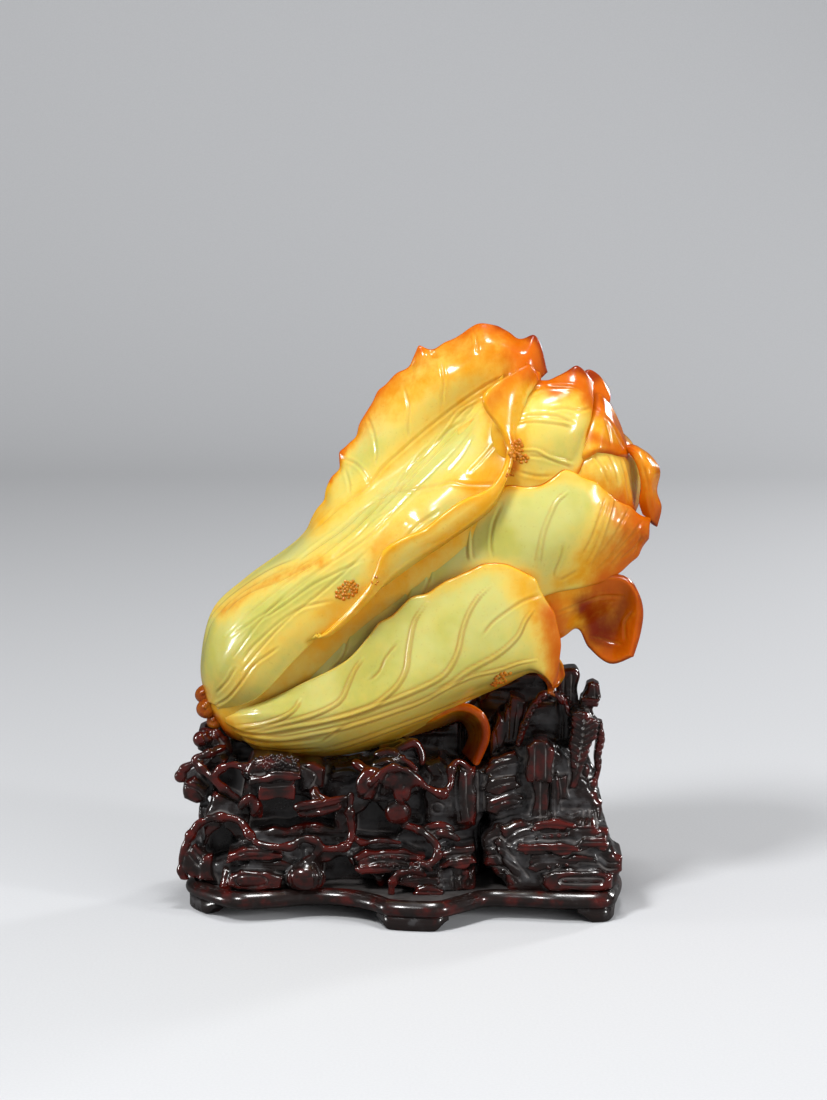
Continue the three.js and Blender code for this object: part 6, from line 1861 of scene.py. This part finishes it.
def grains(name, surface, spots, material, kept_values, sink=0.25):
    """Grains of [across, down, radius in pixels] on a surface, as one object."""
    away = Vector((0, cos_tilt, -sin_tilt))
    points, sizes = [], []
    for across, down, radius in spots:
        start = Vector(placed([across, down, 0])) - away * 0.3
        found = surface.ray_cast(start, away)[0]
        if found:
            points.append(found + away * radius * pixel * sink)
            sizes.append(radius * pixel)
    base = bpy.data.meshes.new(name + "_spots")
    base.from_pydata(points, [], [])
    base.attributes.new("size", "FLOAT", "POINT").data.foreach_set("value", sizes)
    holder = bpy.data.objects.new(name + "_holder", base)
    bpy.context.collection.objects.link(holder)
    modifier = holder.modifiers.new("Grains", "NODES")
    modifier.node_group = grains_on_points
    modifier[size_identifier] = 1.0
    modifier[finish_identifier] = material
    depsgraph = bpy.context.evaluated_depsgraph_get()
    mesh = bpy.data.meshes.new_from_object(holder.evaluated_get(depsgraph))
    bpy.data.objects.remove(holder)
    made = bpy.data.objects.new(name, mesh)
    bpy.context.collection.objects.link(made)
    for value_name, value in kept_values.items():
        put_values(made, value_name, np.full(len(mesh.vertices), value))
    give(made, material)
    print(name, len(points), "grains")
    return made

# %% Clusters on the stone
# Middle across and down, half width and height, tilt in degrees, count, radius of a grain.
stone_clusters_pixels = [
    [349, 589, 12, 8, -35, 34, 1.9], [376, 580, 4, 6, 60, 5, 1.3], [513, 453, 6, 10, 10, 26, 2.1],
    [519, 461, 6, 4, 20, 8, 2.0], [507, 476, 4, 7, 0, 9, 1.4], [499, 676, 11, 5, -30, 17, 2.2],
]
rng = np.random.default_rng(7)


def scattered(clusters):
    spots = []
    for across, down, half_width, half_height, tilt, count, radius in clusters:
        turn = math.radians(tilt)
        held = []
        for _ in range(40 * count):
            reach, angle = math.sqrt(rng.random()), 2 * math.pi * rng.random()
            x, y = half_width * reach * math.cos(angle), half_height * reach * math.sin(angle)
            x, y = x * math.cos(turn) - y * math.sin(turn), x * math.sin(turn) + y * math.cos(turn)
            if len(held) < count and all(math.hypot(x - a, y - b) > 1.15 * radius for a, b in held):
                held.append((x, y))
        spots += [[across + x, down + y, radius * (0.8 + 0.4 * rng.random())] for x, y in held]
    return spots


stone_surface = surface_of(jade_pieces.values())
amber = {"gold": 1.0, "orange": 0.7, "russet": 0.35, "vein": 0.3}
stone_spots = scattered(stone_clusters_pixels)
jade_pieces["grains"] = grains("jade_grains", stone_surface, stone_spots, polished_jade, amber)

# %% Grains on the rocks
# Rows of beads: radius, spacing and the points of the line. Patches: as on the stone.
bead_rows_pixels = [
    [2.5, 5.4, 518,744, 521,732, 527,719, 536,704, 546,695, 558,693, 569,700, 573,714],
    [2.3, 7.5, 536,837, 548,835, 572,833], [2.6, 9.0, 548,866, 558,864, 574,862],
    [2.3, 8.0, 375,858, 390,856, 408,859], [2.0, 6.0, 382,865, 400,866],
]
rock_clusters_pixels = [[277, 760, 22, 6, 0, 30, 2.7], [266, 764, 9, 4, 0, 7, 3.0]]
row_spots = []
for radius, spacing, *row in bead_rows_pixels:
    line = points_of(row)
    fine = smooth_rows(line, np.linspace(0, len(line) - 1, 200))
    run = run_along(fine)
    for stop in np.arange(0, run[-1] + 0.01, spacing):
        row_spots.append([*(float(np.interp(stop, run, fine[:, axis])) for axis in range(2)), radius])
# The beads get the red of the raised forms, partly worn lacquer and partly painted sheen.
bead_wear_and_sheen = {"raised": 0.8, "open_air": 0.6, "crease": 0.0}
rock_grains = {}
rock_spots = row_spots + scattered(rock_clusters_pixels)
spot_depth = -40
spot_places = [placed([across, down, spot_depth]) for across, down, _ in rock_spots]
for node_name in ("left_rock_block", "centre_rock_block", "ledge_block", "tower_block"):
    low, high = block_reach[node_name]
    spots = [spot for spot, (x, _, z) in zip(rock_spots, spot_places)
             if low[0] < x < high[0] and low[2] < z < high[2]]
    if spots:
        surface = surface_of([wood_pieces[node_name]])
        rock_grains[node_name] = grains("grains_on_" + node_name, surface, spots, dark_wood, bead_wear_and_sheen)

# %% [markdown]
# ## Riding and replacing
# Every piece rides on the body it belongs to, and the CAD solid that it stands for is hidden. The dowels
# keep their CAD shape and get a pale wood.

# %% Ride, replace and finish
for piece in jade_pieces.values():
    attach(piece, "jade")
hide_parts("jade_cabbage")
for node_name, piece in wood_pieces.items():
    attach(piece, "stand")
    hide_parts(node_name)
for piece in rock_grains.values():
    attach(piece, "stand")
pale, warm = (0.3, 0.19, 0.1), (0.42, 0.26, 0.13)
peg_wood = wood_finish("pale_peg", kept=False, grain=(900.0, 900.0, 60.0), dark=pale, red=warm, dust=pale)
for node_name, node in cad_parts.items():
    if node_name.endswith("_dowel"):
        give(node, peg_wood)
